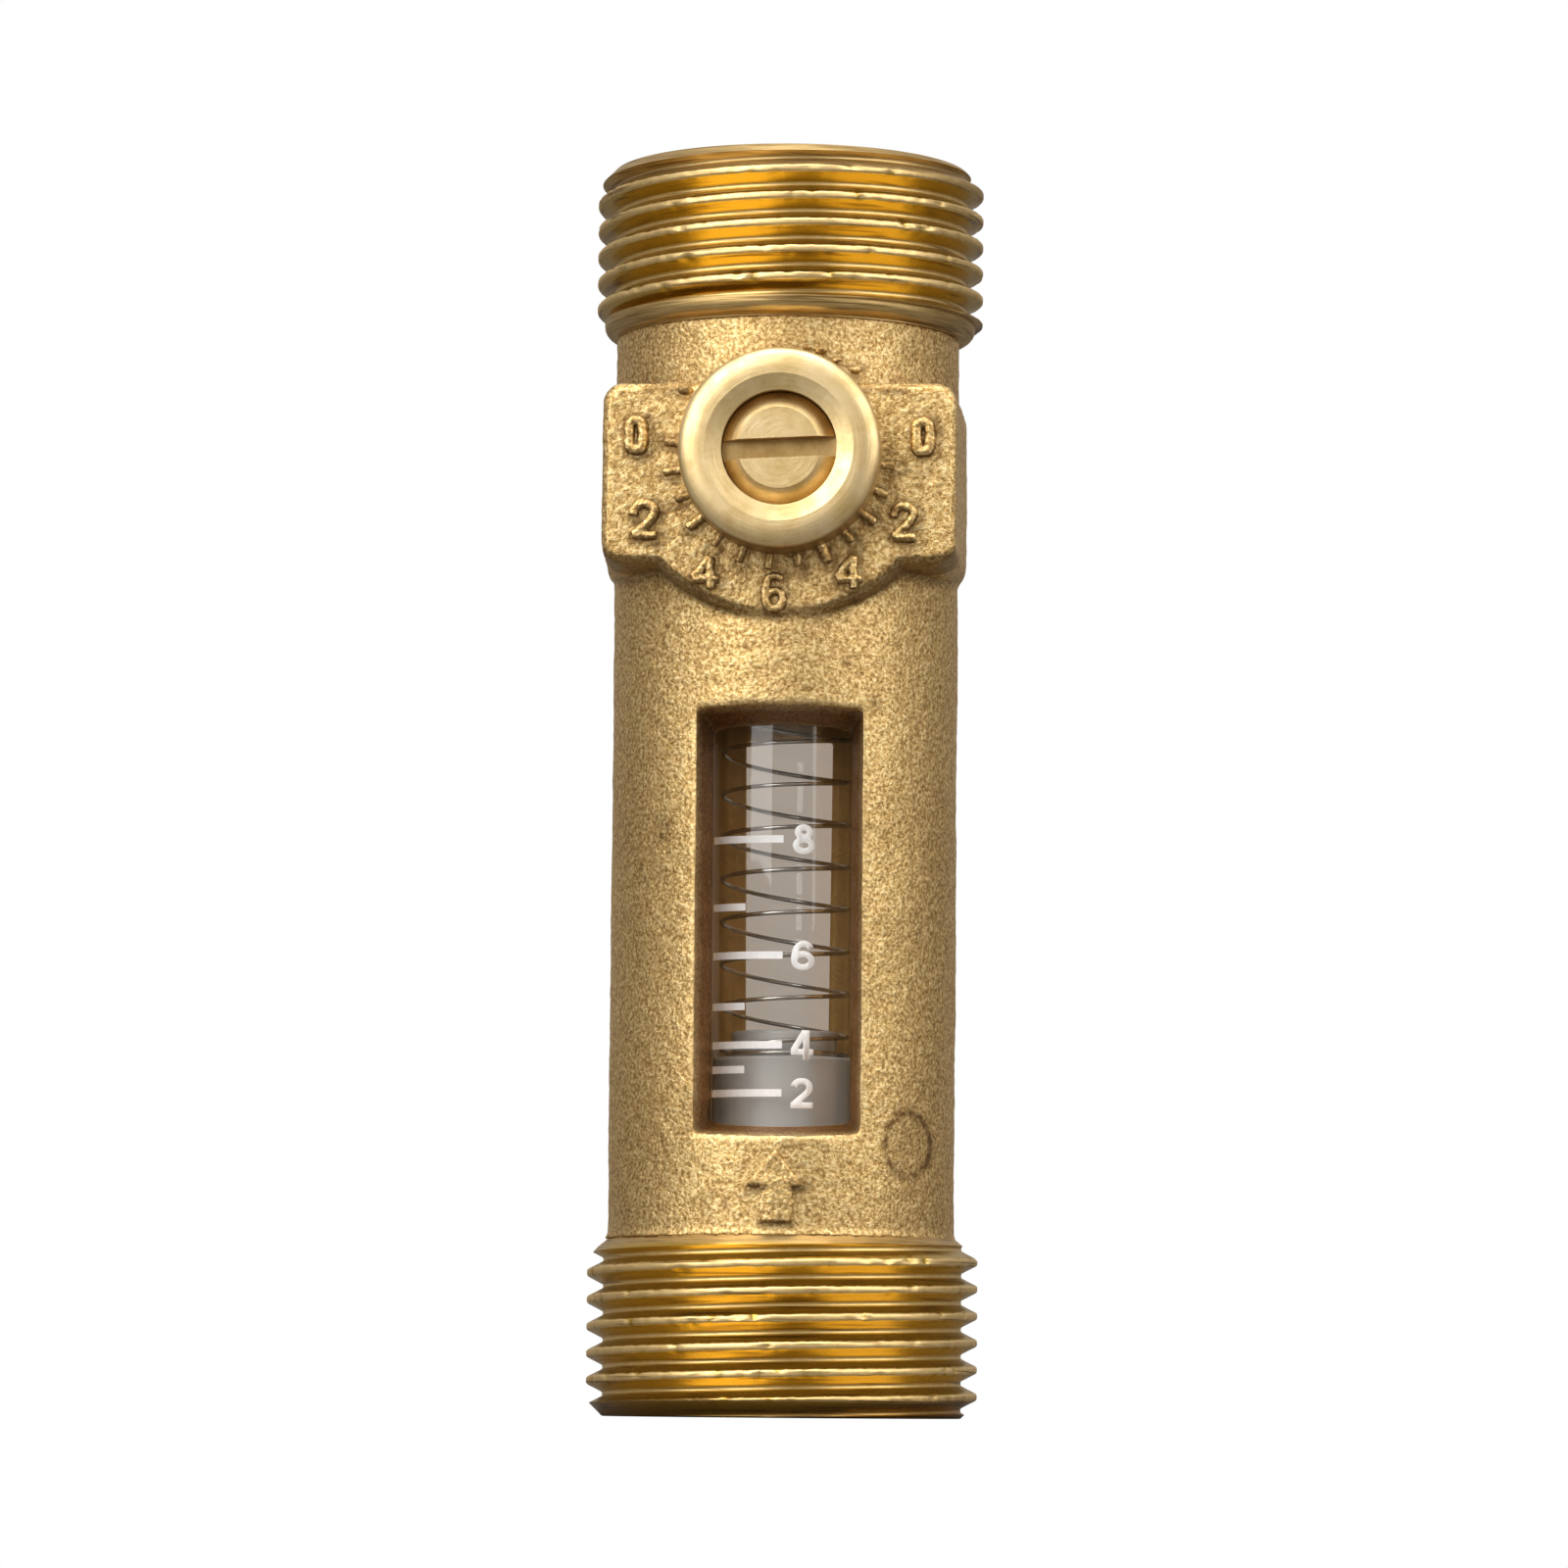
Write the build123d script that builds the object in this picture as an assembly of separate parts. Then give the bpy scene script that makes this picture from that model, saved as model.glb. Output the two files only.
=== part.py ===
"""Inline balancing valve with a sight-glass flow meter, male pipe threads on both ends.

Millimetres. The flow runs up the Z axis, the inlet end face is z = 0, and the dial and the
front window face -Y. At rest the valve is closed and the float lies on its lower stop.
"""
import math
import os

from build123d import *

# Body casting
LENGTH = 85.0
BODY_R = 11.7

# Male pipe threads, G 3/4
THREAD_R = 13.22
THREAD_PITCH = 1.814
THREAD_DEPTH = 1.10
THREAD_FLANK_ANGLE = 27.5
THREAD_ROOT_FLAT = 0.27
THREAD_LENGTH = 10.6
THREAD_OVERRUN = 1.4
INLET_CREST_Z = 1.458
OUTLET_CREST_FROM_END = 3.212
SHOULDER_R = 12.5
SHOULDER_BEVEL = 0.8
COLLAR_R = 12.7
COLLAR_LENGTH = 1.1
COLLAR_BEVEL = 0.4

# Dial block, with the stem's axis through its middle
STEM_Z = 64.0
DIAL_Y = -12.0
DIAL_HALF_WIDTH = 11.8
DIAL_ABOVE_STEM = 4.8
DIAL_BELOW_STEM = 7.3
DIAL_ARC_R = 10.9
DIAL_CORNER_R = 1.25
DIAL_BACK_Y = 1.0
DIAL_DRAFT = 2.1
DIAL_EDGE = 0.4

# Turned boss round the stem
BOSS_R = 6.75
BOSS_HEIGHT = 3.6
BOSS_BEVEL_WIDTH = 1.1
BOSS_BEVEL_DEPTH = 1.4
BOSS_CHAMFER = 1.0

# Sight tube and its bore, from the inlet shoulder to the middle wall
TUBE_R = 6.5
TUBE_FIT = 0.05
TUBE_BORE_LOW_R = 5.05
TUBE_BORE_HIGH_R = 5.55
INNER_SHOULDER_Z = 14.6
MIDDLE_WALL_Z = 50.6
MIDDLE_WALL = 6.0
MIDDLE_BORE_R = 4.6

# Windows in the casting, measured at the outside
WINDOW_LOW_Z = 18.5
WINDOW_HIGH_Z = 47.3
FRONT_WINDOW_WIDTH = 11.7
REAR_WINDOW_WIDTH = 8.9
WINDOW_DRAFT = 9.8

# O-rings between the ends of the sight tube and its bushes
TUBE_SEAL_INNER_R = 5.6
TUBE_SEAL_LENGTH = 1.0

# Bushes at the ends of the sight tube
BUSH_FLANGE = 0.8
FLOAT_SEAT_Z = 18.0
FLOAT_SEAT_FIT = 0.1
FLOAT_SEAT_BORE_R = 3.4
SPRING_PILOT_R = 3.75
SPRING_PILOT_BORE_R = 3.1
SPRING_PILOT_LENGTH = 1.4

# Float
FLOAT_R = 4.8
FLOAT_LENGTH = 6.2
FLOAT_NECK_R = 3.6
FLOAT_NECK_LENGTH = 1.8
FLOAT_HOLLOW_R = 3.0
FLOAT_HOLLOW_DEPTH = 4.0
FLOAT_CHAMFER = 0.3

# Float spring, right-handed, with one closed turn at each end
SPRING_R = 4.16
SPRING_WIRE = 0.38
SPRING_PITCH = 3.0
SPRING_LEFT_RISE = 3.3
SPRING_END_PITCH = 0.42

# Inlet bore and the ring that holds the tube
INLET_BORE_R = 8.0
INLET_BORE_DEPTH = 5.0
TUBE_RETAINER_R = 7.4
TUBE_RETAINER_LENGTH = 5.0
TUBE_RETAINER_BORE_R = 4.2
RETAINER_FIT = 0.05
KEY_SLOT_WIDTH = 2.0
KEY_SLOT_DEPTH = 1.5

# Ball, its seats and the ring that holds them
BALL_R = 8.0
BALL_BORE_R = 5.2
CHAMBER_R = 8.6
SEAT_FIT = 0.1
SEAT_BORE_R = 5.3
SEAT_LENGTH = 3.6
SEAT_SEAL_RECESS = 1.2
SEAT_SEAL_LENGTH = 1.4
SEAT_RETAINER_R = 9.0
SEAT_RETAINER_LENGTH = 5.0
SEAT_RETAINER_BORE_R = 5.6

# Outlet bore, a step wider than the ring that lies under it
OUTLET_BORE_R = 9.4
OUTLET_BORE_DEPTH = 8.5
MOUTH_CHAMFER = 0.5

# Stem, along Y
STEM_BORE_R = 3.85
STEM_FIT = 0.05
STEM_RECESS = 0.4
STEM_FLAT_R = 2.72
STEM_BEVEL_DEPTH = 0.8
DRIVER_SLOT_WIDTH = 1.33
DRIVER_SLOT_DEPTH = 1.1
DRIVER_SLOT_TURN = 2.5
STEM_GROOVE_R = 2.95
STEM_SEAL_LENGTH = 1.1
STEM_GROOVE_LENGTH = 1.3
STEM_SEAL_FIT = 0.02
OUTER_STEM_SEAL_Y = -12.9
INNER_STEM_SEAL_Y = -10.8
FLANGE_POCKET_Y = -9.9
FLANGE_POCKET_R = 5.1
WASHER_THICKNESS = 0.4
WASHER_FIT = 0.1
FLANGE_R = 4.9
FLANGE_THICKNESS = 0.75
TANG_WIDTH = 2.4
TANG_R = 3.5
TANG_FIT = 0.2
BALL_SLOT_DEPTH = 2.0

# Sizes that follow from the ones above
THREAD_ROOT_R = THREAD_R - THREAD_DEPTH
TUBE_BORE_R = TUBE_R + TUBE_FIT
LOWER_BUSH_Z = INNER_SHOULDER_Z + BUSH_FLANGE
UPPER_BUSH_Z = MIDDLE_WALL_Z - BUSH_FLANGE
TUBE_LOW_Z = LOWER_BUSH_Z + TUBE_SEAL_LENGTH
TUBE_HIGH_Z = UPPER_BUSH_Z - TUBE_SEAL_LENGTH
FLOAT_SHOULDER_Z = FLOAT_SEAT_Z + FLOAT_LENGTH
CHAMBER_LOW_Z = MIDDLE_WALL_Z + MIDDLE_WALL
CHAMBER_HIGH_Z = 2 * STEM_Z - CHAMBER_LOW_Z
BOSS_Y = DIAL_Y - BOSS_HEIGHT
STEM_R = STEM_BORE_R - STEM_FIT
STEM_FACE_Y = BOSS_Y + STEM_RECESS
WASHER_Y = FLANGE_POCKET_Y + WASHER_THICKNESS
FLANGE_END_Y = WASHER_Y + FLANGE_THICKNESS
TANG_END_Y = BALL_SLOT_DEPTH - BALL_R - TANG_FIT

FRONT = Plane(origin=(0, 0, STEM_Z), x_dir=(1, 0, 0), z_dir=(0, -1, 0))


def turned(*outline):
    """The solid that a closed outline of (radius, z) points makes when it is turned round Z."""
    face = make_face(Polyline(*[(r, 0, z) for r, z in outline], close=True))
    return revolve(face, Axis.Z, 360)


def tube_of(outer_r, inner_r, low, high):
    """A plain ring about Z."""
    return turned((inner_r, low), (outer_r, low), (outer_r, high), (inner_r, high))


def on_stem(solid):
    """Takes a solid made about Z to the stem's axis, with its +Z to the front."""
    return FRONT.location * solid


def o_ring(inner_r, outer_r, low, high):
    """A squeezed O-ring about Z: flat where it is pressed in and out, and bevelled at its two sides."""
    mean_r = (inner_r + outer_r) / 2
    bevel = (high - low) / 4
    return turned(
        (inner_r, low + bevel),
        (mean_r, low),
        (outer_r, low + bevel),
        (outer_r, high - bevel),
        (mean_r, high),
        (inner_r, high - bevel),
    )


def thread_groove(crest_z, low, high):
    """The helical groove between two heights, with its crests through (angle 0, crest_z)."""
    over = 0.5
    half_root = THREAD_ROOT_FLAT / 2
    half_mouth = half_root + (THREAD_DEPTH + over) * math.tan(math.radians(THREAD_FLANK_ANGLE))
    path = Helix(THREAD_PITCH, high - low, THREAD_ROOT_R, center=(0, 0, low))
    section = Polyline(
        (THREAD_ROOT_R, 0, low - half_root),
        (THREAD_R + over, 0, low - half_mouth),
        (THREAD_R + over, 0, low + half_mouth),
        (THREAD_ROOT_R, 0, low + half_root),
        close=True,
    )
    groove = sweep(make_face(section), path=path, is_frenet=True)
    start_turn = (low - crest_z - THREAD_PITCH / 2) / THREAD_PITCH
    return Rot(0, 0, 360 * start_turn) * groove


def body_blank():
    """The outside of the casting, turned at both ends, with its threads cut."""
    shoulder_z = THREAD_LENGTH + SHOULDER_BEVEL
    collar_z = LENGTH - THREAD_LENGTH - COLLAR_BEVEL - COLLAR_LENGTH
    blank = turned(
        (0, 0),
        (THREAD_ROOT_R, 0),
        (THREAD_R, THREAD_DEPTH),
        (THREAD_R, THREAD_LENGTH),
        (SHOULDER_R, shoulder_z),
        (BODY_R, shoulder_z + SHOULDER_R - BODY_R),
        (BODY_R, collar_z - COLLAR_BEVEL),
        (COLLAR_R, collar_z),
        (COLLAR_R, collar_z + COLLAR_LENGTH),
        (THREAD_R, collar_z + COLLAR_LENGTH + COLLAR_BEVEL),
        (THREAD_R, LENGTH - THREAD_DEPTH),
        (THREAD_ROOT_R, LENGTH),
        (0, LENGTH),
    )
    inlet_groove = thread_groove(INLET_CREST_Z, -THREAD_OVERRUN, THREAD_LENGTH + SHOULDER_BEVEL / 2)
    outlet_groove = thread_groove(
        LENGTH - OUTLET_CREST_FROM_END,
        collar_z + COLLAR_LENGTH - COLLAR_BEVEL,
        LENGTH + THREAD_OVERRUN,
    )
    stock = turned((0, 0), (THREAD_R, 0), (THREAD_R, LENGTH), (0, LENGTH))
    return (stock - inlet_groove - outlet_groove) & blank


def dial_block():
    """The flat block that carries the dial: two square wings over an arc about the stem."""
    wings = Rectangle(
        2 * DIAL_HALF_WIDTH, DIAL_ABOVE_STEM + DIAL_BELOW_STEM, align=(Align.CENTER, Align.MIN)
    )
    wings = fillet(wings.vertices(), DIAL_CORNER_R)
    wings = Pos(0, -DIAL_BELOW_STEM) * wings
    below = Rectangle(2 * DIAL_ARC_R, DIAL_ARC_R, align=(Align.CENTER, Align.MAX))
    outline = wings + (Circle(DIAL_ARC_R) & below)
    depth = DIAL_BACK_Y - DIAL_Y
    block = extrude(outline, amount=depth, taper=-DIAL_DRAFT)
    block = Pos(0, 0, -DIAL_Y) * Rot(0, 180, 0) * block
    front_edges = block.faces().sort_by(Axis.Z)[-1].edges()
    return on_stem(chamfer(front_edges, DIAL_EDGE))


def boss():
    """The turned boss round the stem, with a bevelled rim."""
    return on_stem(
        turned(
            (0, CHAMBER_R),
            (BOSS_R, CHAMBER_R),
            (BOSS_R, -BOSS_Y - BOSS_BEVEL_DEPTH),
            (BOSS_R - BOSS_BEVEL_WIDTH, -BOSS_Y),
            (0, -BOSS_Y),
        )
    )


def window_cut(width, side):
    """A drafted window through the wall of the casting, on the side -1 (front) or 1 (rear)."""
    middle = (WINDOW_HIGH_Z + WINDOW_LOW_Z) / 2
    inwards = Plane(origin=(0, side * BODY_R, middle), x_dir=(1, 0, 0), z_dir=(0, -side, 0))
    mouth = inwards * Rectangle(width, WINDOW_HIGH_Z - WINDOW_LOW_Z)
    return extrude(mouth, amount=BODY_R - TUBE_BORE_R / 2, taper=WINDOW_DRAFT)


def stem_bore():
    """Everything cut about the stem's axis: its bore, the mouth's chamfer and the flange pocket."""
    bore_length = FLANGE_POCKET_Y - BOSS_Y
    bore = turned(
        (0, 0),
        (STEM_BORE_R + BOSS_CHAMFER, 0),
        (STEM_BORE_R, -BOSS_CHAMFER),
        (STEM_BORE_R, -bore_length),
        (FLANGE_POCKET_R, -bore_length),
        (FLANGE_POCKET_R, -bore_length + FLANGE_POCKET_Y + CHAMBER_R / 2),
        (0, -bore_length + FLANGE_POCKET_Y + CHAMBER_R / 2),
    )
    return on_stem(Pos(0, 0, -BOSS_Y) * bore)


def flow_way():
    """The stepped bore along the flow axis."""
    return turned(
        (0, 0),
        (INLET_BORE_R, 0),
        (INLET_BORE_R, INLET_BORE_DEPTH),
        (TUBE_RETAINER_R, INLET_BORE_DEPTH),
        (TUBE_RETAINER_R, INNER_SHOULDER_Z),
        (TUBE_BORE_R, INNER_SHOULDER_Z),
        (TUBE_BORE_R, MIDDLE_WALL_Z),
        (MIDDLE_BORE_R, MIDDLE_WALL_Z),
        (MIDDLE_BORE_R, CHAMBER_LOW_Z),
        (CHAMBER_R, CHAMBER_LOW_Z),
        (CHAMBER_R, CHAMBER_HIGH_Z),
        (SEAT_RETAINER_R, CHAMBER_HIGH_Z),
        (SEAT_RETAINER_R, LENGTH - OUTLET_BORE_DEPTH),
        (OUTLET_BORE_R, LENGTH - OUTLET_BORE_DEPTH),
        (OUTLET_BORE_R, LENGTH - MOUTH_CHAMFER),
        (OUTLET_BORE_R + MOUTH_CHAMFER, LENGTH),
        (0, LENGTH),
    )


def valve_body():
    casting = body_blank() + dial_block() + boss()
    casting = casting - window_cut(FRONT_WINDOW_WIDTH, -1) - window_cut(REAR_WINDOW_WIDTH, 1)
    return casting - flow_way() - stem_bore()


def sight_tube():
    """The clear tube. Its bore widens upwards, so that the flow past the float grows as it lifts."""
    return turned(
        (TUBE_BORE_LOW_R, TUBE_LOW_Z),
        (TUBE_R, TUBE_LOW_Z),
        (TUBE_R, TUBE_HIGH_Z),
        (TUBE_BORE_HIGH_R, TUBE_HIGH_Z),
    )


def tube_seal(low):
    """The O-ring between an end of the tube, its bush and the bore of the casting."""
    return o_ring(TUBE_SEAL_INNER_R, TUBE_BORE_R, low, low + TUBE_SEAL_LENGTH)


def float_seat():
    """The bush under the tube. Its nose centres the tube and is the float's lower stop."""
    nose_r = TUBE_BORE_LOW_R - FLOAT_SEAT_FIT
    return turned(
        (FLOAT_SEAT_BORE_R, INNER_SHOULDER_Z),
        (TUBE_R, INNER_SHOULDER_Z),
        (TUBE_R, LOWER_BUSH_Z),
        (nose_r, LOWER_BUSH_Z),
        (nose_r, FLOAT_SEAT_Z),
        (FLOAT_SEAT_BORE_R, FLOAT_SEAT_Z),
    )


def spring_seat():
    """The bush over the tube, with a pilot inside the spring's last turns."""
    return turned(
        (SPRING_PILOT_BORE_R, UPPER_BUSH_Z - SPRING_PILOT_LENGTH),
        (SPRING_PILOT_R, UPPER_BUSH_Z - SPRING_PILOT_LENGTH),
        (SPRING_PILOT_R, UPPER_BUSH_Z),
        (TUBE_R, UPPER_BUSH_Z),
        (TUBE_R, MIDDLE_WALL_Z),
        (SPRING_PILOT_BORE_R, MIDDLE_WALL_Z),
    )


def float_body():
    """The float: a hollow skirt that the flow lifts, and a neck that centres the spring."""
    return turned(
        (FLOAT_HOLLOW_R, FLOAT_SEAT_Z),
        (FLOAT_R - FLOAT_CHAMFER, FLOAT_SEAT_Z),
        (FLOAT_R, FLOAT_SEAT_Z + FLOAT_CHAMFER),
        (FLOAT_R, FLOAT_SHOULDER_Z - FLOAT_CHAMFER),
        (FLOAT_R - FLOAT_CHAMFER, FLOAT_SHOULDER_Z),
        (FLOAT_NECK_R, FLOAT_SHOULDER_Z),
        (FLOAT_NECK_R, FLOAT_SHOULDER_Z + FLOAT_NECK_LENGTH - FLOAT_CHAMFER),
        (FLOAT_NECK_R - FLOAT_CHAMFER, FLOAT_SHOULDER_Z + FLOAT_NECK_LENGTH),
        (0, FLOAT_SHOULDER_Z + FLOAT_NECK_LENGTH),
        (0, FLOAT_SEAT_Z + FLOAT_HOLLOW_DEPTH),
        (FLOAT_HOLLOW_R, FLOAT_SEAT_Z + FLOAT_HOLLOW_DEPTH),
    )


def coil(start_z, height, pitch, start_angle):
    """A stretch of the spring's wire."""
    path = Helix(pitch, height, SPRING_R, center=(0, 0, start_z))
    start = Plane(origin=(SPRING_R, 0, start_z), x_dir=(1, 0, 0), z_dir=(0, 1, 0))
    wire = sweep(start * RegularPolygon(SPRING_WIRE / 2, 4), path=path, is_frenet=True)
    return Rot(0, 0, start_angle) * wire


def float_spring():
    """The spring from the float's shoulder to its bush, one closed turn at each end."""
    low = FLOAT_SHOULDER_Z + SPRING_WIRE / 2
    high = UPPER_BUSH_Z - SPRING_WIRE / 2
    open_low = low + SPRING_END_PITCH
    open_high = high - SPRING_END_PITCH
    left_z = FLOAT_SHOULDER_Z + SPRING_LEFT_RISE
    open_angle = 180 - 360 * (left_z - open_low) / SPRING_PITCH
    open_turns = (open_high - open_low) / SPRING_PITCH
    spring = coil(low, SPRING_END_PITCH, SPRING_END_PITCH, open_angle)
    spring = spring + coil(open_low, open_high - open_low, SPRING_PITCH, open_angle)
    last_angle = open_angle + 360 * open_turns
    return spring + coil(open_high, SPRING_END_PITCH, SPRING_END_PITCH, last_angle)


def key_slot(radius, face_z):
    """The slot across a threaded ring's open face, for the tool that turns it."""
    return Pos(0, 0, face_z) * Box(3 * radius, KEY_SLOT_WIDTH, 2 * KEY_SLOT_DEPTH)


def tube_retainer():
    """The threaded ring that holds the tube and its bush from the inlet."""
    low = INNER_SHOULDER_Z - TUBE_RETAINER_LENGTH
    ring = tube_of(TUBE_RETAINER_R - RETAINER_FIT, TUBE_RETAINER_BORE_R, low, INNER_SHOULDER_Z)
    return ring - key_slot(TUBE_RETAINER_R, low)


def ball():
    """The bored ball, closed: its bore lies across the flow, and the stem's slot along it."""
    bore = Rot(0, 90, 0) * Cylinder(BALL_BORE_R, 3 * BALL_R)
    slot = Box(TANG_WIDTH + TANG_FIT, 2 * BALL_SLOT_DEPTH, 3 * BALL_R)
    return Pos(0, 0, STEM_Z) * (Sphere(BALL_R) - bore - Pos(0, -BALL_R, 0) * slot)


def ball_seat(side):
    """A seat ring on the inlet side (-1) or the outlet side (1) of the ball."""
    back = CHAMBER_HIGH_Z - STEM_Z
    outer_r = CHAMBER_R - SEAT_FIT
    ring = turned(
        (SEAT_BORE_R, back - SEAT_LENGTH),
        (outer_r, back - SEAT_LENGTH),
        (outer_r, back - SEAT_SEAL_LENGTH),
        (outer_r - SEAT_SEAL_RECESS, back - SEAT_SEAL_LENGTH),
        (outer_r - SEAT_SEAL_RECESS, back),
        (SEAT_BORE_R, back),
    )
    ring = ring - Sphere(BALL_R + SEAT_FIT)
    if side < 0:
        ring = Rot(180, 0, 0) * ring
    return Pos(0, 0, STEM_Z) * ring


def seat_seal(side):
    """The O-ring in the recess behind a seat ring."""
    low = CHAMBER_LOW_Z if side < 0 else CHAMBER_HIGH_Z - SEAT_SEAL_LENGTH
    inner_r = CHAMBER_R - SEAT_FIT - SEAT_SEAL_RECESS
    return o_ring(inner_r, CHAMBER_R, low, low + SEAT_SEAL_LENGTH)


def seat_retainer():
    """The threaded ring that holds the seats and the ball from the outlet."""
    high = CHAMBER_HIGH_Z + SEAT_RETAINER_LENGTH
    ring = tube_of(SEAT_RETAINER_R - RETAINER_FIT, SEAT_RETAINER_BORE_R, CHAMBER_HIGH_Z, high)
    return ring - key_slot(SEAT_RETAINER_R, high)


def stem():
    """The slotted stem, put in from the chamber, with two O-ring grooves and a tang for the ball."""
    grooves = [OUTER_STEM_SEAL_Y, INNER_STEM_SEAL_Y]
    outline = [
        (0, -STEM_FACE_Y),
        (STEM_FLAT_R, -STEM_FACE_Y),
        (STEM_R, -STEM_FACE_Y - STEM_BEVEL_DEPTH),
    ]
    for middle in grooves:
        top = -middle + STEM_GROOVE_LENGTH / 2
        foot = -middle - STEM_GROOVE_LENGTH / 2
        outline += [(STEM_R, top), (STEM_GROOVE_R, top), (STEM_GROOVE_R, foot), (STEM_R, foot)]
    outline += [
        (STEM_R, -WASHER_Y),
        (FLANGE_R, -WASHER_Y),
        (FLANGE_R, -FLANGE_END_Y),
        (0, -FLANGE_END_Y),
    ]
    tang_length = TANG_END_Y - FLANGE_END_Y
    tang = Cylinder(TANG_R, tang_length, align=(Align.CENTER, Align.CENTER, Align.MAX))
    tang = tang & Box(TANG_WIDTH, 3 * TANG_R, 3 * tang_length)
    slot = Box(3 * STEM_R, DRIVER_SLOT_WIDTH, 2 * DRIVER_SLOT_DEPTH)
    slot = Pos(0, 0, -STEM_FACE_Y) * Rot(0, 0, DRIVER_SLOT_TURN) * slot
    return on_stem(turned(*outline) + Pos(0, 0, -FLANGE_END_Y) * tang - slot)


def stem_seal(middle):
    low = -middle - STEM_SEAL_LENGTH / 2
    return on_stem(o_ring(STEM_GROOVE_R, STEM_BORE_R - STEM_SEAL_FIT, low, low + STEM_SEAL_LENGTH))


def thrust_washer():
    """The slip washer between the stem's flange and the body."""
    outer_r = FLANGE_POCKET_R - WASHER_FIT
    return on_stem(tube_of(outer_r, STEM_BORE_R, -WASHER_Y, -FLANGE_POCKET_Y))


PARTS = {
    "valve_body": valve_body(),
    "sight_tube": sight_tube(),
    "tube_seal_lower": tube_seal(LOWER_BUSH_Z),
    "tube_seal_upper": tube_seal(TUBE_HIGH_Z),
    "float_seat": float_seat(),
    "tube_retainer": tube_retainer(),
    "float": float_body(),
    "float_spring": float_spring(),
    "spring_seat": spring_seat(),
    "ball": ball(),
    "ball_seat_inlet": ball_seat(-1),
    "ball_seat_outlet": ball_seat(1),
    "seat_seal_inlet": seat_seal(-1),
    "seat_seal_outlet": seat_seal(1),
    "seat_retainer": seat_retainer(),
    "stem": stem(),
    "stem_seal_outer": stem_seal(OUTER_STEM_SEAL_Y),
    "stem_seal_inner": stem_seal(INNER_STEM_SEAL_Y),
    "thrust_washer": thrust_washer(),
}

os.makedirs("parts", exist_ok=True)
for name, shape in PARTS.items():
    export_step(shape, f"parts/{name}.step")
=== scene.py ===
"""Looks of the inline flow meter with its balancing valve. Metres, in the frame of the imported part.

The camera stands in front, at the height of the inlet face. Sizes that belong to the valve are
written in millimetres and turned into metres where a mesh is made.
"""
import math

import bmesh
import bpy
from mathutils import Matrix, Vector, noise


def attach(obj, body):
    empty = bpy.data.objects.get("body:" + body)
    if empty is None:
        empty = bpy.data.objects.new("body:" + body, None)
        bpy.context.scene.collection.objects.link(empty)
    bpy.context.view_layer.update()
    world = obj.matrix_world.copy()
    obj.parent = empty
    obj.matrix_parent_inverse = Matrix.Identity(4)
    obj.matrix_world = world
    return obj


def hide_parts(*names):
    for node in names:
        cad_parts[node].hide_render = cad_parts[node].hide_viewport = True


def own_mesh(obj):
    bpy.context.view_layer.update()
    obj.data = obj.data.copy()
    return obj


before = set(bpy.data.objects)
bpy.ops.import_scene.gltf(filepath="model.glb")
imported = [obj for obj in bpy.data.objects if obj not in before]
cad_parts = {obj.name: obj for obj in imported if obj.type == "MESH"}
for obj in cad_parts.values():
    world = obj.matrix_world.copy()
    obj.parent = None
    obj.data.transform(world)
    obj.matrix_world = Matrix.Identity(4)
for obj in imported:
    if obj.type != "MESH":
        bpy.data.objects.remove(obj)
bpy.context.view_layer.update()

MM = 0.001

# Sizes of the valve, in millimetres, as its CAD part has them
LENGTH = 85.0
BODY_R = 11.7
THREAD_R = 13.22
THREAD_ROOT_R = 12.12
THREAD_PITCH = 1.814
THREAD_ROOT_HALF = 0.135
THREAD_CREST_HALF = 0.199
THREAD_LENGTH = 10.6
INLET_CREST_Z = 1.458
OUTLET_CREST_Z = 81.788
SHOULDER_R = 12.5
SHOULDER_Z = 11.4
COLLAR_R = 12.7
COLLAR_LOW_Z = 72.9
INLET_BORE_R = 8.0
INLET_BORE_DEPTH = 5.0
TUBE_RETAINER_R = 7.4
OUTLET_BORE_R = 9.4
OUTLET_STEP_Z = 76.5
SEAT_RETAINER_R = 9.0
STEM_Z = 64.0
DIAL_Y = -12.0
BOSS_Y = -15.6
BOSS_R = 6.75
STEM_BORE_R = 3.85
STEM_R = 3.8
STEM_FACE_Y = -15.2
STEM_FLAT_R = 2.72
STEM_SLOT_WIDTH = 1.33
STEM_SLOT_DEPTH = 1.1
STEM_SLOT_TURN = 2.5
STEM_HEAD_BACK = 13.75
FLANGE_POCKET_Y = -9.9
TUBE_R = 6.5
TUBE_LOW_Z = 16.4
TUBE_HIGH_Z = 48.8
TUBE_BORE_LOW_R = 5.05
TUBE_BORE_HIGH_R = 5.55
FLOAT_LOW_Z = 18.0
FLOAT_SHOULDER_Z = 24.2
FLOAT_TOP_Z = 26.0
FLOAT_R = 4.8
FLOAT_NECK_R = 3.6
FLOAT_HOLLOW_R = 3.0
FLOAT_HOLLOW_Z = 22.0
SPRING_HIGH_Z = 49.8

# Sizes of the spring and of the plain band, fitted to the photograph
SPRING_R = 4.3
SPRING_WIRE = 0.3
SPRING_PITCH = 2.886
SPRING_LEFT_Z = 27.375
SPRING_LEAN = 0.45
SPRING_END_RISE = 0.42
BAND_Z = 74.35
BAND_ROUND = 0.85

# The ends of the cast piece, where the turned ones begin
CASTING_LOW_Z = 12.0
CASTING_HIGH_Z = 73.5

# How finely things are made
TURN_STEPS = 192
THREAD_STEPS = 288
CASTING_STEPS = 360
ROUND_STEPS = 3
SPRING_STEPS = 36
CASTING_VOXEL = 0.2
CASTING_TRIANGLES = 190000
MARKS_VOXEL = 0.08
PRINT_VOXEL = 0.035


# Mesh tools

UPRIGHT = Matrix.Rotation(math.pi / 2, 3, "X")


def moved(bm, way):
    bmesh.ops.translate(bm, verts=bm.verts, vec=way)


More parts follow.
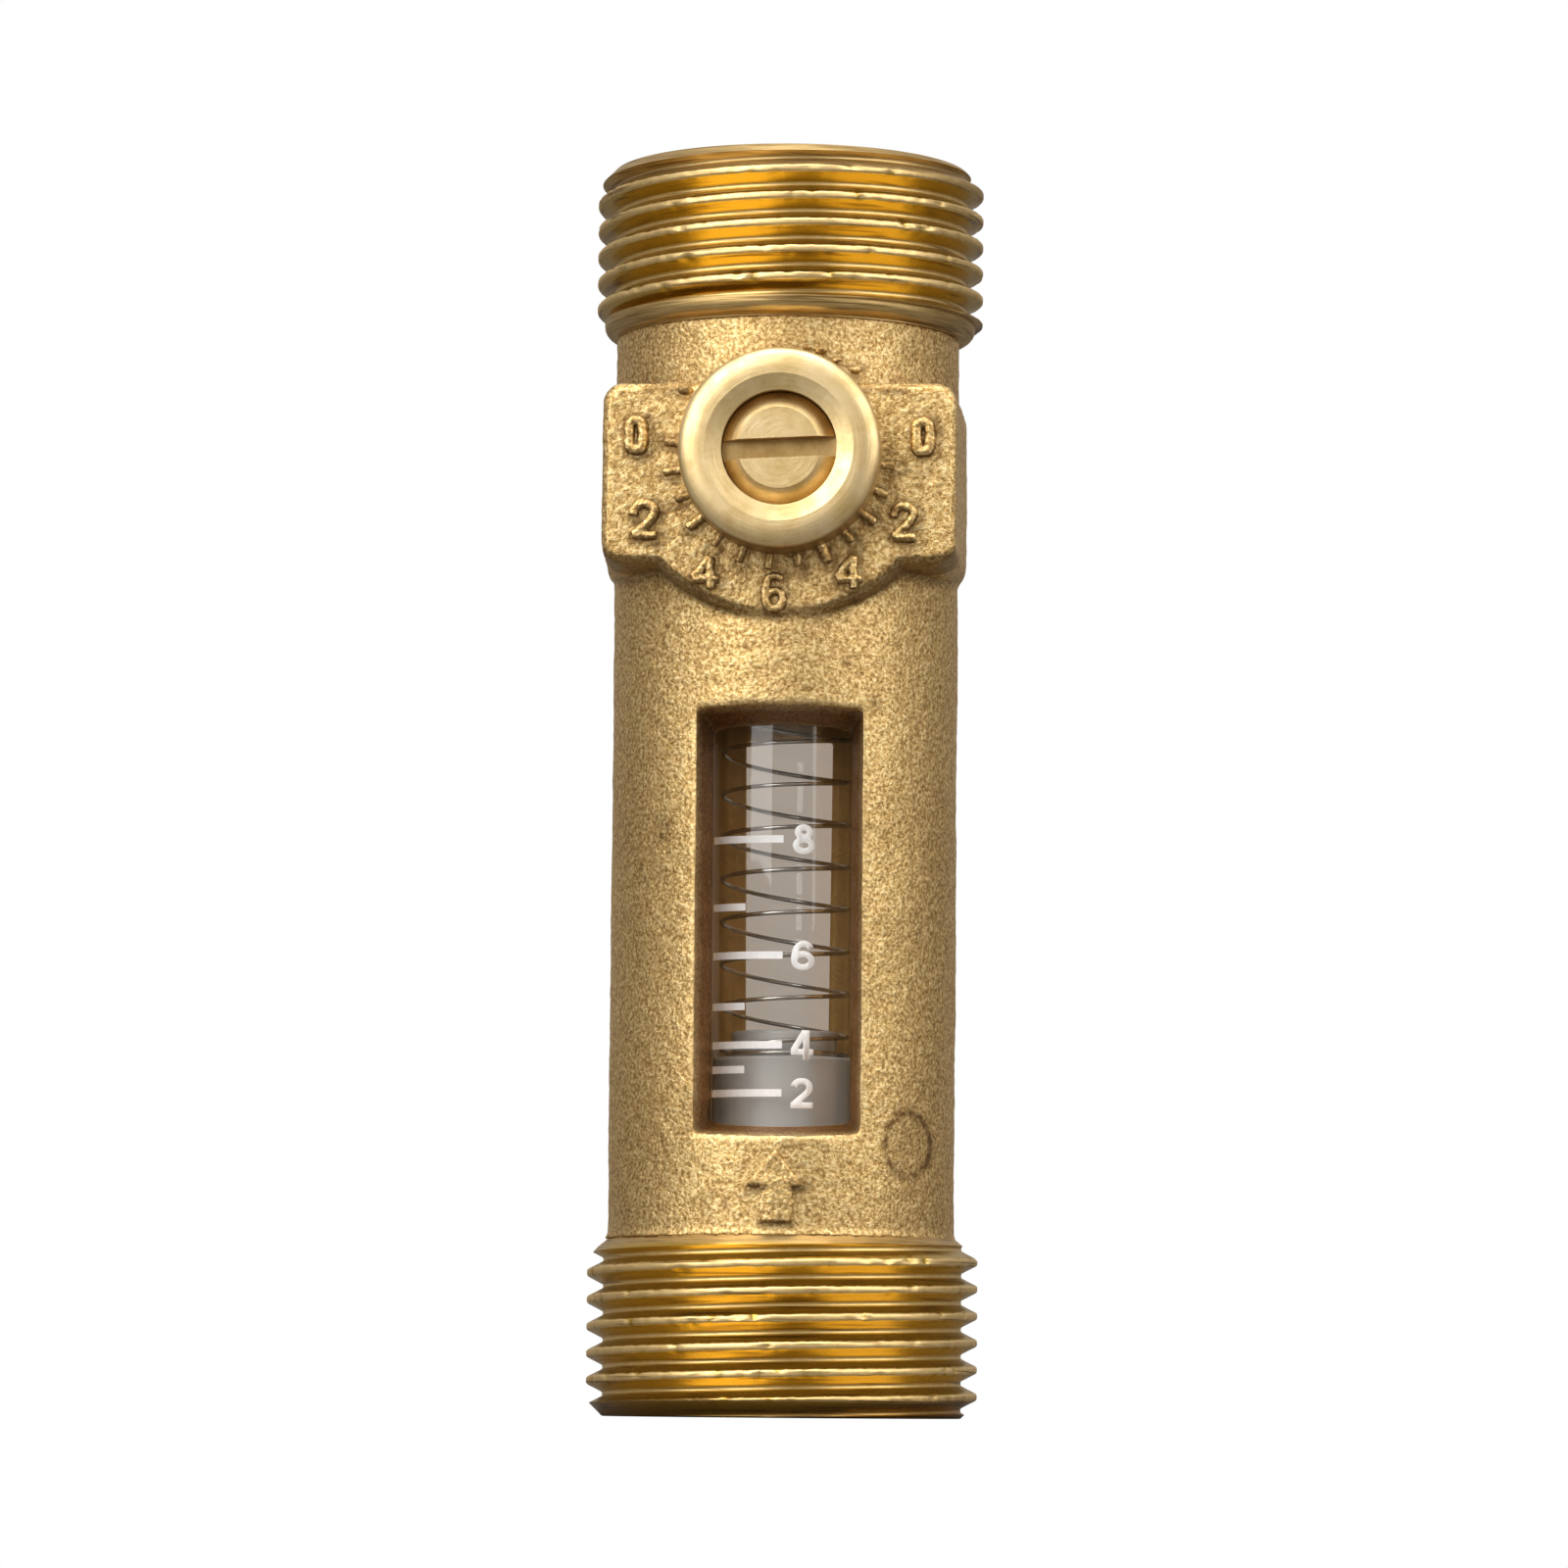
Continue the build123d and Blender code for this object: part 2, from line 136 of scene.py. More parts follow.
def sized(bm, factors):
    bmesh.ops.scale(bm, verts=bm.verts, vec=factors)


def swung(bm, matrix):
    bmesh.ops.rotate(bm, verts=bm.verts, cent=(0, 0, 0), matrix=matrix)


def placed(name, data):
    """An object of a mesh, curve, camera or lamp, in the scene."""
    made = bpy.data.objects.new(name, data)
    bpy.context.scene.collection.objects.link(made)
    return made


def piece_from(name, bm, finish, body="root", smooth_angle=38):
    """Makes a finished piece of a bmesh whose points are in millimetres."""
    sized(bm, (MM, MM, MM))
    mesh = bpy.data.meshes.new(name)
    bm.to_mesh(mesh)
    bm.free()
    mesh.shade_smooth()
    if smooth_angle:
        mesh.set_sharp_from_angle(angle=math.radians(smooth_angle))
    piece = placed(name, mesh)
    if finish is not None:
        mesh.materials.append(finish)
    if body is not None:
        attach(piece, body)
    return piece


def wire_outline(bm, outline):
    """Puts a closed outline of (radius, z) points into the XZ plane of a bmesh, as edges."""
    verts = [bm.verts.new((r, 0, z)) for r, z in outline]
    edges = [bm.edges.new(pair) for pair in zip(verts, verts[1:] + verts[:1])]
    return verts, edges


def turned(outline, steps=TURN_STEPS):
    """A solid turned round Z from a closed outline of (radius, z) points."""
    bm = bmesh.new()
    verts, edges = wire_outline(bm, outline)
    bmesh.ops.spin(
        bm, geom=verts + edges, cent=(0, 0, 0), axis=(0, 0, 1), dvec=(0, 0, 0),
        angle=2 * math.pi, steps=steps, use_merge=True,
    )
    bmesh.ops.remove_doubles(bm, verts=bm.verts, dist=1e-5)
    bmesh.ops.dissolve_degenerate(bm, edges=bm.edges, dist=1e-6)
    bmesh.ops.recalc_face_normals(bm, faces=bm.faces)
    return bm


def on_stem(bm):
    """Turns a bmesh made about Z to the stem's axis, with its +Z to the front."""
    swung(bm, UPRIGHT)
    moved(bm, (0, 0, STEM_Z))
    return bm


def rounded(outline, radius, sharp=()):
    """A closed outline with its corners rounded, except those listed in sharp."""
    result = []
    for i, point in enumerate(outline):
        here = Vector(point)
        before = Vector(outline[i - 1]) - here
        after = Vector(outline[(i + 1) % len(outline)]) - here
        turn = before.angle(after, math.pi)
        if i in sharp or turn > math.radians(176):
            result.append(tuple(here))
            continue
        reach = min(radius / math.tan(turn / 2), 0.45 * before.length, 0.45 * after.length)
        start = here + before.normalized() * reach
        end = here + after.normalized() * reach
        for k in range(ROUND_STEPS + 1):
            t = k / ROUND_STEPS
            mixed = start * (1 - t) ** 2 + here * 2 * t * (1 - t) + end * t ** 2
            result.append(tuple(mixed))
    return result


def temporary(bm):
    """A throw-away object of a bmesh, for the modifiers that work between two objects."""
    mesh = bpy.data.meshes.new("temporary")
    bm.to_mesh(mesh)
    bm.free()
    return placed("temporary", mesh)


def evaluated_bmesh(made):
    """The bmesh of an object with its modifiers applied, or of a curve."""
    graph = bpy.context.evaluated_depsgraph_get()
    source = made.evaluated_get(graph)
    result = bmesh.new()
    result.from_mesh(source.to_mesh())
    source.to_mesh_clear()
    return result


def drop(*objects):
    for made in objects:
        bpy.data.objects.remove(made)


def combined(bm, other, operation):
    """The union, difference or intersection of two closed bmeshes."""
    first, second = temporary(bm), temporary(other)
    cut = first.modifiers.new("cut", "BOOLEAN")
    cut.operation = operation
    cut.solver = "MANIFOLD"
    cut.object = second
    result = evaluated_bmesh(first)
    drop(first, second)
    return result


def strand(points, radius, closed=False, smooth=True):
    """A round bar along a list of points in millimetres, as a bmesh with closed ends."""
    curve = bpy.data.curves.new("strand", "CURVE")
    curve.dimensions = "3D"
    curve.bevel_depth = radius
    curve.bevel_resolution = 2
    curve.use_fill_caps = True
    curve.resolution_u = 6
    spline = curve.splines.new("NURBS" if smooth else "POLY")
    spline.points.add(len(points) - 1)
    for place, point in zip(spline.points, points):
        place.co = (*point, 1)
    spline.use_cyclic_u = closed
    if smooth:
        spline.order_u = 3
        spline.use_endpoint_u = not closed
    made = placed("strand", curve)
    result = evaluated_bmesh(made)
    drop(made)
    bmesh.ops.remove_doubles(result, verts=result.verts, dist=1e-5)
    bmesh.ops.recalc_face_normals(result, faces=result.faces)
    return result


def joined(*meshes):
    """One bmesh of several, without merging them."""
    whole = bmesh.new()
    for bm in meshes:
        part = bpy.data.meshes.new("part")
        bm.to_mesh(part)
        bm.free()
        whole.from_mesh(part)
        bpy.data.meshes.remove(part)
    return whole


# Node tools

def new_finish(name):
    """A material with its node tree and its Principled shader."""
    made = bpy.data.materials.new(name)
    made.use_nodes = True
    return made, made.node_tree, made.node_tree.nodes["Principled BSDF"]


def object_place(tree):
    return tree.nodes.new("ShaderNodeTexCoord").outputs["Object"]


def stretched(tree, vector, scale):
    node = tree.nodes.new("ShaderNodeMapping")
    node.inputs["Scale"].default_value = scale
    tree.links.new(vector, node.inputs["Vector"])
    return node.outputs["Vector"]


def grain(tree, vector, scale, detail, roughness):
    """Noise from 0 to 1. The scale is in grains a metre."""
    node = tree.nodes.new("ShaderNodeTexNoise")
    node.inputs["Scale"].default_value = scale
    node.inputs["Detail"].default_value = detail
    node.inputs["Roughness"].default_value = roughness
    tree.links.new(vector, node.inputs["Vector"])
    return node.outputs["Fac"]


def ramp(tree, value, *stops):
    """A colour ramp: each stop is (place, colour) with a colour of three numbers or a grey value."""
    node = tree.nodes.new("ShaderNodeValToRGB")
    band = node.color_ramp
    while len(band.elements) < len(stops):
        band.elements.new(0.5)
    for element, (place, colour) in zip(band.elements, stops):
        element.position = place
        shade = colour if isinstance(colour, tuple) else (colour,) * 3
        element.color = (*shade, 1)
    tree.links.new(value, node.inputs["Fac"])
    return node.outputs["Color"]


def maths(tree, operation, *values):
    node = tree.nodes.new("ShaderNodeMath")
    node.operation = operation
    for socket, value in zip(node.inputs, values):
        if isinstance(value, (int, float)):
            socket.default_value = value
        else:
            tree.links.new(value, socket)
    return node.outputs["Value"]


def mixed(tree, share, first, second, blend="MIX"):
    """Two colours mixed; each may be a socket or a plain colour."""
    node = tree.nodes.new("ShaderNodeMix")
    node.data_type = "RGBA"
    node.blend_type = blend
    for place, value in ((0, share), (6, first), (7, second)):
        socket = node.inputs[place]
        if isinstance(value, (int, float)):
            socket.default_value = value
        elif isinstance(value, tuple):
            socket.default_value = (*value, 1)
        else:
            tree.links.new(value, socket)
    return node.outputs[2]


def times(tree, first, second):
    return mixed(tree, 1.0, first, second, "MULTIPLY")


def bump(tree, height, strength, distance, before=None):
    """A normal tilted by a height, on top of the normal before it."""
    node = tree.nodes.new("ShaderNodeBump")
    node.inputs["Strength"].default_value = strength
    node.inputs["Distance"].default_value = distance
    tree.links.new(height, node.inputs["Height"])
    if before is not None:
        tree.links.new(before, node.inputs["Normal"])
    return node.outputs["Normal"]


def either(tree, share, first, second):
    """A node that mixes the shaders of two others."""
    node = tree.nodes.new("ShaderNodeMixShader")
    for socket, value in zip(node.inputs, (share, first.outputs[0], second.outputs[0])):
        tree.links.new(value, socket)
    return node


def surfaced(tree, node, output="Material Output"):
    tree.links.new(node.outputs[0], tree.nodes[output].inputs["Surface"])


def scaled(tree, value, low, high):
    """A value brought from the range low to high to the range 0 to 1."""
    node = tree.nodes.new("ShaderNodeMapRange")
    node.inputs["From Min"].default_value = low
    node.inputs["From Max"].default_value = high
    tree.links.new(value, node.inputs["Value"])
    return node.outputs["Result"]


def fade(tree, value, low, high, start=0.0, end=1.0):
    """Goes from start to end while a length in metres goes from low to high, in millimetres."""
    return ramp(tree, scaled(tree, value, low * MM, high * MM), (0.0, start), (1.0, end))


def attribute(tree, name):
    node = tree.nodes.new("ShaderNodeAttribute")
    node.attribute_name = name
    return node.outputs["Fac"]


def radius_about(tree, place, axis_z=None):
    """Distance from the flow axis, or from the stem's axis where axis_z is given, in metres."""
    split = tree.nodes.new("ShaderNodeSeparateXYZ")
    tree.links.new(place, split.inputs[0])
    if axis_z is None:
        second = split.outputs["Y"]
    else:
        second = maths(tree, "SUBTRACT", split.outputs["Z"], axis_z)
    squares = [maths(tree, "POWER", side, 2.0) for side in (split.outputs["X"], second)]
    return maths(tree, "SQRT", maths(tree, "ADD", *squares)), split


def dressed(tree, shader, colour, roughness, normal, metal=True):
    """Links a finish's colour, roughness and normal to its shader."""
    tree.links.new(colour, shader.inputs["Base Color"])
    tree.links.new(roughness, shader.inputs["Roughness"])
    tree.links.new(normal, shader.inputs["Normal"])
    if metal:
        shader.inputs["Metallic"].default_value = 1.0


# Finishes

CAST_DARK = (0.30, 0.175, 0.055)
CAST_MID = (0.60, 0.40, 0.155)
CAST_LIGHT = (0.88, 0.68, 0.35)
CREVICE_SHADE = (0.12, 0.065, 0.022)
STAIN_AND_SHADOW = (0.16, 0.085, 0.03)
RECESS_SHADE = (0.60, 0.40, 0.20)
BORED = (0.95, 0.60, 0.24)


def cast_brass():
    """Sand-cast brass, shot-blasted: a fine sparkling grain with stains, painted shade in its crevices, in
    the window openings, under the dial block and beside the raised marks, edges lighter from wear and a
    painted highlight, and turned smooth where the tube's bore runs through it."""
    made, tree, shader = new_finish("cast_brass")
    place = object_place(tree)
    fine = grain(tree, place, 4200, 3, 0.65)
    broad = grain(tree, place, 1100, 3, 0.6)
    patches = grain(tree, place, 120, 2, 0.5)
    shade = ramp(tree, fine, (0.34, CAST_DARK), (0.5, CAST_MID), (0.64, CAST_LIGHT))
    shade = mixed(tree, 0.65, shade, ramp(tree, broad, (0.3, 0.40), (0.7, 0.60)), "OVERLAY")
    shade = mixed(tree, 0.35, shade, ramp(tree, patches, (0.35, 0.44), (0.65, 0.55)), "OVERLAY")
    radius, _ = radius_about(tree, place)
    # Painted shade: the walls of the window openings, nearer the axis than the outer skin, are darkened.
    recess_shade = fade(tree, radius, BODY_R - 2.1, BODY_R - 0.5, 1.0, 0.0)
    shade = mixed(tree, recess_shade, shade, times(tree, shade, RECESS_SHADE))
    # Painted shade and shadow: darker in concave corners, on the downward walls under the dial block, and
    # just below and right of the raised marks.
    curve = attribute(tree, "hollow")
    shade = mixed(tree, ramp(tree, curve, (0.0, 0.0), (1.0, 1.0)), shade, CREVICE_SHADE)
    # Convex edges are lightened: rubbed wear with a painted highlight.
    worn = ramp(tree, scaled(tree, curve, 0.0, -1.0), (0.15, 0.0), (1.0, 0.75))
    shade = mixed(tree, worn, shade, CAST_LIGHT)
    # Brown specks: real stains, and painted shadow close to the raised marks and lumps.
    shade = mixed(tree, attribute(tree, "stain_and_shadow"), shade, STAIN_AND_SHADOW)
    bored = fade(tree, radius, TUBE_R + 0.2, TUBE_R + 0.4, 1.0, 0.0)
    shade = mixed(tree, bored, shade, BORED)
    rough = mixed(tree, bored, ramp(tree, broad, (0.3, 0.50), (0.7, 0.42)), (0.42, 0.42, 0.42))
    normal = bump(tree, fine, 0.8, 0.00008, bump(tree, broad, 0.5, 0.00012))
    dressed(tree, shader, shade, rough, normal)
    return made


def threaded_brass():
    """Turned brass threads: glossy orange-gold grooves under pale, worn crests, a painted highlight along
    the roots, dark scores, and painted shade at the inlet's bottom end.
    """
    made, tree, shader = new_finish("threaded_brass")
    place = object_place(tree)
    radius, split = radius_about(tree, place)
    depth = maths(tree, "SUBTRACT", radius, THREAD_ROOT_R * MM)
    height = maths(tree, "DIVIDE", depth, (THREAD_R - THREAD_ROOT_R) * MM)
    scratches = grain(tree, stretched(tree, place, (300, 300, 9000)), 1.0, 3, 0.6)
    worn = grain(tree, place, 1500, 3, 0.6)
    groove = mixed(tree, scratches, (0.53, 0.345, 0.06), (0.62, 0.415, 0.09))
    crest = mixed(tree, worn, (0.62, 0.41, 0.14), (0.95, 0.73, 0.37))
    streaked = ramp(tree, scratches, (0.3, (0.33, 0.22, 0.08)), (0.7, (0.68, 0.48, 0.21)))
    # The crest colour is worn crests at the top, and a painted highlight along the roots at the bottom.
    crests = ramp(tree, height, (0.03, 0.75), (0.09, 0.0), (0.84, 0.0), (0.94, 1.0))
    along = split.outputs["Z"]
    rim = fade(tree, along, LENGTH - 1.8, LENGTH - 1.5)
    plain = times(tree, fade(tree, along, BAND_Z + 0.35, BAND_Z + 0.5, 1.0, 0.0),
                  fade(tree, along, SHOULDER_Z - 0.05, SHOULDER_Z + 0.1))
    bare = mixed(tree, 1.0, rim, plain, "ADD")
    shade = mixed(tree, bare, mixed(tree, crests, groove, crest), streaked)
    scores = grain(tree, stretched(tree, place, (110, 110, 5200)), 1.0, 2, 0.5)
    shade = mixed(tree, ramp(tree, scores, (0.6, 0.0), (0.66, 0.7)), shade, (0.17, 0.09, 0.025))
    # Painted shade: the lowest 1.5 mm of the inlet end is darkened towards the bottom.
    foot = ramp(tree, scaled(tree, along, 0.0, 1.5 * MM), (0.6, 1.0), (1.0, 0.0))
    shade = mixed(tree, foot, shade, times(tree, shade, (0.62, 0.52, 0.40)))
    rough = mixed(tree, mixed(tree, 1.0, crests, bare, "ADD"), (0.25, 0.25, 0.25), (0.40, 0.40, 0.40))
    dressed(tree, shader, shade, rough, bump(tree, scratches, 0.25, 0.00003))
    return made


def faced_brass():
    """Brass faced on the lathe about the stem's axis: satin, with circular scratches, painted shade in the
    stem's slot, and painted shade with dirt on the lower side of the boss.
    """
    made, tree, shader = new_finish("faced_brass")
    place = object_place(tree)
    radius, split = radius_about(tree, place, STEM_Z * MM)
    up = maths(tree, "SUBTRACT", split.outputs["Z"], STEM_Z * MM)
    angle = maths(tree, "ARCTAN2", up, split.outputs["X"])
    polar = tree.nodes.new("ShaderNodeCombineXYZ")
    tree.links.new(maths(tree, "MULTIPLY", radius, 4500.0), polar.inputs["X"])
    tree.links.new(maths(tree, "MULTIPLY", angle, 1.6), polar.inputs["Y"])
    rings = grain(tree, polar.outputs[0], 1.0, 4, 0.65)
    drift = grain(tree, place, 420, 4, 0.6)
    fine = grain(tree, place, 5200, 2, 0.5)
    shade = ramp(tree, drift, (0.35, (0.62, 0.455, 0.20)), (0.55, (0.79, 0.605, 0.315)),
                 (0.7, (0.88, 0.70, 0.40)))
    shade = mixed(tree, 0.5, shade, ramp(tree, rings, (0.3, 0.36), (0.7, 0.62)), "OVERLAY")
    # Painted shade: the slot's floor and the parts of the stem face set back from it are darkened.
    depth = fade(tree, split.outputs["Y"], STEM_FACE_Y + 0.1, STEM_FACE_Y + 0.8)
    sunk_shade = times(tree, depth, fade(tree, radius, STEM_R - 0.05, STEM_R + 0.1, 1.0, 0.0))
    shade = mixed(tree, sunk_shade, shade, times(tree, shade, (0.66, 0.58, 0.46)))
    # The boss's side below the stem is darkened: painted shade with dirt.
    side = fade(tree, radius, BOSS_R - 0.2, BOSS_R - 0.03)
    dirt_and_shade_below = times(tree, side, fade(tree, split.outputs["Z"], STEM_Z - 6, STEM_Z - 2, 1.0, 0.0))
    shade = mixed(tree, dirt_and_shade_below, shade, times(tree, shade, (0.45, 0.36, 0.26)))
    normal = bump(tree, fine, 0.2, 0.00003, bump(tree, rings, 0.35, 0.00004))
    dressed(tree, shader, shade, ramp(tree, drift, (0.3, 0.46), (0.7, 0.36)), normal)
    return made


def plain_brass():
    """Turned brass of the inner rings and bores."""
    made, tree, shader = new_finish("plain_brass")
    marks = grain(tree, stretched(tree, object_place(tree), (400, 400, 7000)), 1.0, 3, 0.6)
    shade = mixed(tree, marks, (0.62, 0.43, 0.16), (0.82, 0.62, 0.28))
    rough = ramp(tree, marks, (0.3, 0.34), (0.7, 0.24))
    dressed(tree, shader, shade, rough, bump(tree, marks, 0.2, 0.00003))
    return made


def plastic(name, colour, roughness):
    """Moulded plastic or rubber with a faint mottle."""
    made, tree, shader = new_finish(name)
    mottle = grain(tree, object_place(tree), 2500, 3, 0.6)
    dark = tuple(c * 0.94 for c in colour)
    light = tuple(c * 1.06 for c in colour)
    rough = ramp(tree, mottle, (0.3, roughness - 0.05), (0.7, roughness + 0.05))
    normal = bump(tree, mottle, 0.15, 0.00004)
    dressed(tree, shader, mixed(tree, mottle, dark, light), rough, normal, metal=False)
    return made


def steel(name, colour, roughness):
    """Drawn or plated metal with fine marks."""
    made, tree, shader = new_finish(name)
    marks = grain(tree, object_place(tree), 3000, 3, 0.6)
    dark = tuple(c * 0.82 for c in colour)
    rough = ramp(tree, marks, (0.3, roughness + 0.06), (0.7, roughness - 0.04))
    dressed(tree, shader, mixed(tree, marks, dark, colour), rough, bump(tree, marks, 0.1, 0.00002))
    return made


def clear_tube():
    """The clear plastic of the sight tube. Light reaches what is inside it straight."""
    made, tree, shader = new_finish("clear_tube")
    shader.inputs["Base Color"].default_value = (0.93, 0.93, 0.92, 1)
    shader.inputs["Transmission Weight"].default_value = 1.0
    shader.inputs["IOR"].default_value = 1.49
    shader.inputs["Roughness"].default_value = 0.02
    through = tree.nodes.new("ShaderNodeBsdfTransparent")
    through.inputs["Color"].default_value = (0.9, 0.9, 0.9, 1)
    rays = tree.nodes.new("ShaderNodeLightPath")
    surfaced(tree, either(tree, rays.outputs["Is Shadow Ray"], shader, through))
    return made


def white_print():
    """The printed scale: white ink, slightly uneven."""
    made, tree, shader = new_finish("white_print")
    mottle = grain(tree, object_place(tree), 3500, 2, 0.5)
    ink = mixed(tree, mottle, (0.72, 0.73, 0.74), (0.92, 0.92, 0.91))
    tree.links.new(ink, shader.inputs["Base Color"])
    shader.inputs["Roughness"].default_value = 0.5
    return made


# Threads and turned ends

THREAD_BORE_R = 6.0
THREAD_CORNER = 0.06


def thread_profile(low_z, turns):
    """The outer (radius, z) points of so many turns of thread, root to root."""
    corner = THREAD_CORNER
    run = THREAD_PITCH / 2 - THREAD_CREST_HALF - THREAD_ROOT_HALF
    rise = THREAD_R - THREAD_ROOT_R
    flank = Vector((rise, run)).normalized()
    points = []
    for turn in range(turns):
        root_z = low_z + turn * THREAD_PITCH
        crest_z = root_z + THREAD_PITCH / 2
        root = Vector((THREAD_ROOT_R, root_z + THREAD_ROOT_HALF))
        crest = Vector((THREAD_R, crest_z - THREAD_CREST_HALF))
        rising = [
            (THREAD_ROOT_R, root_z),
            (THREAD_ROOT_R, root.y - corner),
            tuple(root + flank * corner),
            tuple(root.lerp(crest, 0.5)),
            tuple(crest - flank * 2 * corner),
            (THREAD_R - corner * 0.35, crest_z - THREAD_CREST_HALF + corner * 0.5),
            (THREAD_R, crest_z - THREAD_CREST_HALF + 1.6 * corner),
        ]
        falling = [(r, 2 * crest_z - z) for r, z in reversed(rising[1:])]
        points += rising + [(THREAD_R, crest_z)] + falling
    points.append((THREAD_ROOT_R, low_z + turns * THREAD_PITCH))
    return points


def thread_stock(crest_z, turns):
    """A closed bar with a helical thread outside, before its ends are cut. Its crest passes
    through (angle 0, crest_z)."""
    low_z = crest_z - THREAD_PITCH * (turns // 2) - THREAD_PITCH / 2
    outer = thread_profile(low_z, turns)
    inner = [(THREAD_BORE_R, low_z + k * THREAD_PITCH) for k in range(turns, -1, -1)]
    bm = bmesh.new()
    verts, edges = wire_outline(bm, outer + inner)
    bmesh.ops.spin(
        bm, geom=verts + edges, cent=(0, 0, 0), axis=(0, 0, 1),
        dvec=(0, 0, THREAD_PITCH / THREAD_STEPS), angle=2 * math.pi, steps=THREAD_STEPS,
        use_merge=False,
    )
    bmesh.ops.remove_doubles(bm, verts=bm.verts, dist=1e-3)
    rim = [edge for edge in bm.edges if edge.is_boundary]
    bmesh.ops.holes_fill(bm, edges=rim)
    bmesh.ops.recalc_face_normals(bm, faces=bm.faces)
    return bm


def worn_crests(bm, seed):
    """Small nicks and burrs along the crests."""
    for vert in bm.verts:
        radius = math.hypot(vert.co.x, vert.co.y)
        if radius < THREAD_R - 0.16:
            continue
        place = vert.co * 1.3 + Vector((seed, 0, 0))
        dent = max(0.0, noise.noise(place) - 0.22) * 0.35
        ripple = noise.noise(vert.co * 2.7 + Vector((0, seed, 0))) * 0.035
        share = 1 - (dent - min(ripple, 0.0) * 0.5) / radius
        vert.co.x *= share
        vert.co.y *= share
        vert.co.z += ripple
    return bm


def inlet_end(finish):
    """The threaded inlet end with its bore. The thread runs out in the cone above it."""
    blank = turned(rounded([
        (INLET_BORE_R, 0.0),
        (THREAD_ROOT_R, 0.0),
        (THREAD_R, THREAD_R - THREAD_ROOT_R),
        (THREAD_R, THREAD_LENGTH),
        (SHOULDER_R, SHOULDER_Z),
        (BODY_R - 0.3, SHOULDER_Z + 0.9),
        (TUBE_RETAINER_R, SHOULDER_Z + 0.9),
        (TUBE_RETAINER_R, INLET_BORE_DEPTH),
        (INLET_BORE_R, INLET_BORE_DEPTH),
    ], 0.1, sharp=(3, 4)), THREAD_STEPS)
    bm = worn_crests(combined(thread_stock(INLET_CREST_Z, 13), blank, "INTERSECT"), 3.0)
    piece_from("inlet_end", bm, finish)


def outlet_end(finish):
    """The threaded outlet end, with the plain band and its rounded underside."""
    blank = turned(rounded([
        (SEAT_RETAINER_R, BAND_Z + 0.2),
        (THREAD_R, BAND_Z + 0.2),
        (THREAD_R, LENGTH - THREAD_R + THREAD_ROOT_R),
        (THREAD_ROOT_R, LENGTH),
        (OUTLET_BORE_R + 0.5, LENGTH),
        (OUTLET_BORE_R, LENGTH - 0.5),
        (OUTLET_BORE_R, OUTLET_STEP_Z),
        (SEAT_RETAINER_R, OUTLET_STEP_Z),
    ], 0.12), THREAD_STEPS)
    threads = worn_crests(combined(thread_stock(OUTLET_CREST_Z, 11), blank, "INTERSECT"), 8.0)
    band_foot_r = BODY_R + 0.12
    under = []
    for k in range(7):
        angle = math.pi / 2 * k / 6
        out = (COLLAR_R - band_foot_r) * math.sin(angle)
        under.append((band_foot_r + out, BAND_Z - BAND_ROUND * math.cos(angle)))
    band = turned([
        (SEAT_RETAINER_R, CASTING_HIGH_Z - 0.2),
        (band_foot_r, CASTING_HIGH_Z - 0.08),
    ] + under + [
        (COLLAR_R, BAND_Z + 0.35),
        (THREAD_ROOT_R, BAND_Z + 0.5),
        (SEAT_RETAINER_R, BAND_Z + 0.5),
    ], THREAD_STEPS)
    piece_from("outlet_end", joined(threads, band), finish, smooth_angle=32)


# The casting

def cad_solid(node):
    """A merged copy of a CAD node's mesh, in millimetres."""
    bm = bmesh.new()
    bm.from_mesh(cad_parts[node].data)
    sized(bm, (1 / MM, 1 / MM, 1 / MM))
    bmesh.ops.remove_doubles(bm, verts=bm.verts, dist=1e-4)
    bmesh.ops.dissolve_degenerate(bm, edges=bm.edges, dist=1e-5)
    for layer in list(bm.loops.layers.uv):
        bm.loops.layers.uv.remove(layer)
    return bm


def block(low, high):
    bm = bmesh.new()
    bmesh.ops.create_cube(bm, size=1)
    sized(bm, tuple(h - l for l, h in zip(low, high)))
    moved(bm, tuple((h + l) / 2 for l, h in zip(low, high)))
    return bm


DIGIT_STROKES = {
    "0": [[(0, 0.98), (-0.44, 0.94), (-0.47, 0.0), (-0.44, -0.94), (0, -0.98), (0.44, -0.94), (0.47, 0.0),
           (0.44, 0.94)]],
    "2": [[(-0.72, 0.35), (-0.66, 0.95), (0.05, 1.2), (0.74, 0.85), (0.62, 0.2), (0.05, -0.35),
           (-0.72, -0.98)], [(-0.75, -1.0), (0.0, -1.0), (0.8, -1.02)]],
    "4": [[(0.3, -1.1), (0.3, 1.08)], [(0.26, 1.08), (-0.8, -0.35)], [(-0.82, -0.42), (0.82, -0.42)]],
    "6": [[(0.52, 0.8), (0.36, 1.1), (-0.35, 1.08), (-0.6, 0.45), (-0.62, -0.45), (-0.35, -1.08),
           (0.38, -1.08), (0.62, -0.5), (0.42, 0.08), (-0.15, 0.12), (-0.52, -0.25)]],
}
DIGIT_RADIUS = {"0": 0.38, "2": 0.32, "4": 0.31, "6": 0.31}
DIAL_DIGITS = [
    ("0", -9.6, 1.25), ("2", -9.0, -4.5), ("4", -4.95, -8.0), ("6", -0.38, -9.3),
    ("4", 4.6, -8.0), ("2", 8.3, -4.6), ("0", 9.6, 1.15),
]
RELIEF = 0.42
TICK_START = 174
TICK_STEP = 15
TICK_COUNT = 13
TICK_REACH = 1.2
TICK_RADIUS = 0.3
ARROW_OUTLINE = [
    (-0.92, 12.85), (-0.92, 15.25), (-1.9, 15.25), (0.0, 17.6), (1.8, 15.25), (1.06, 15.25), (1.06, 12.85),
]


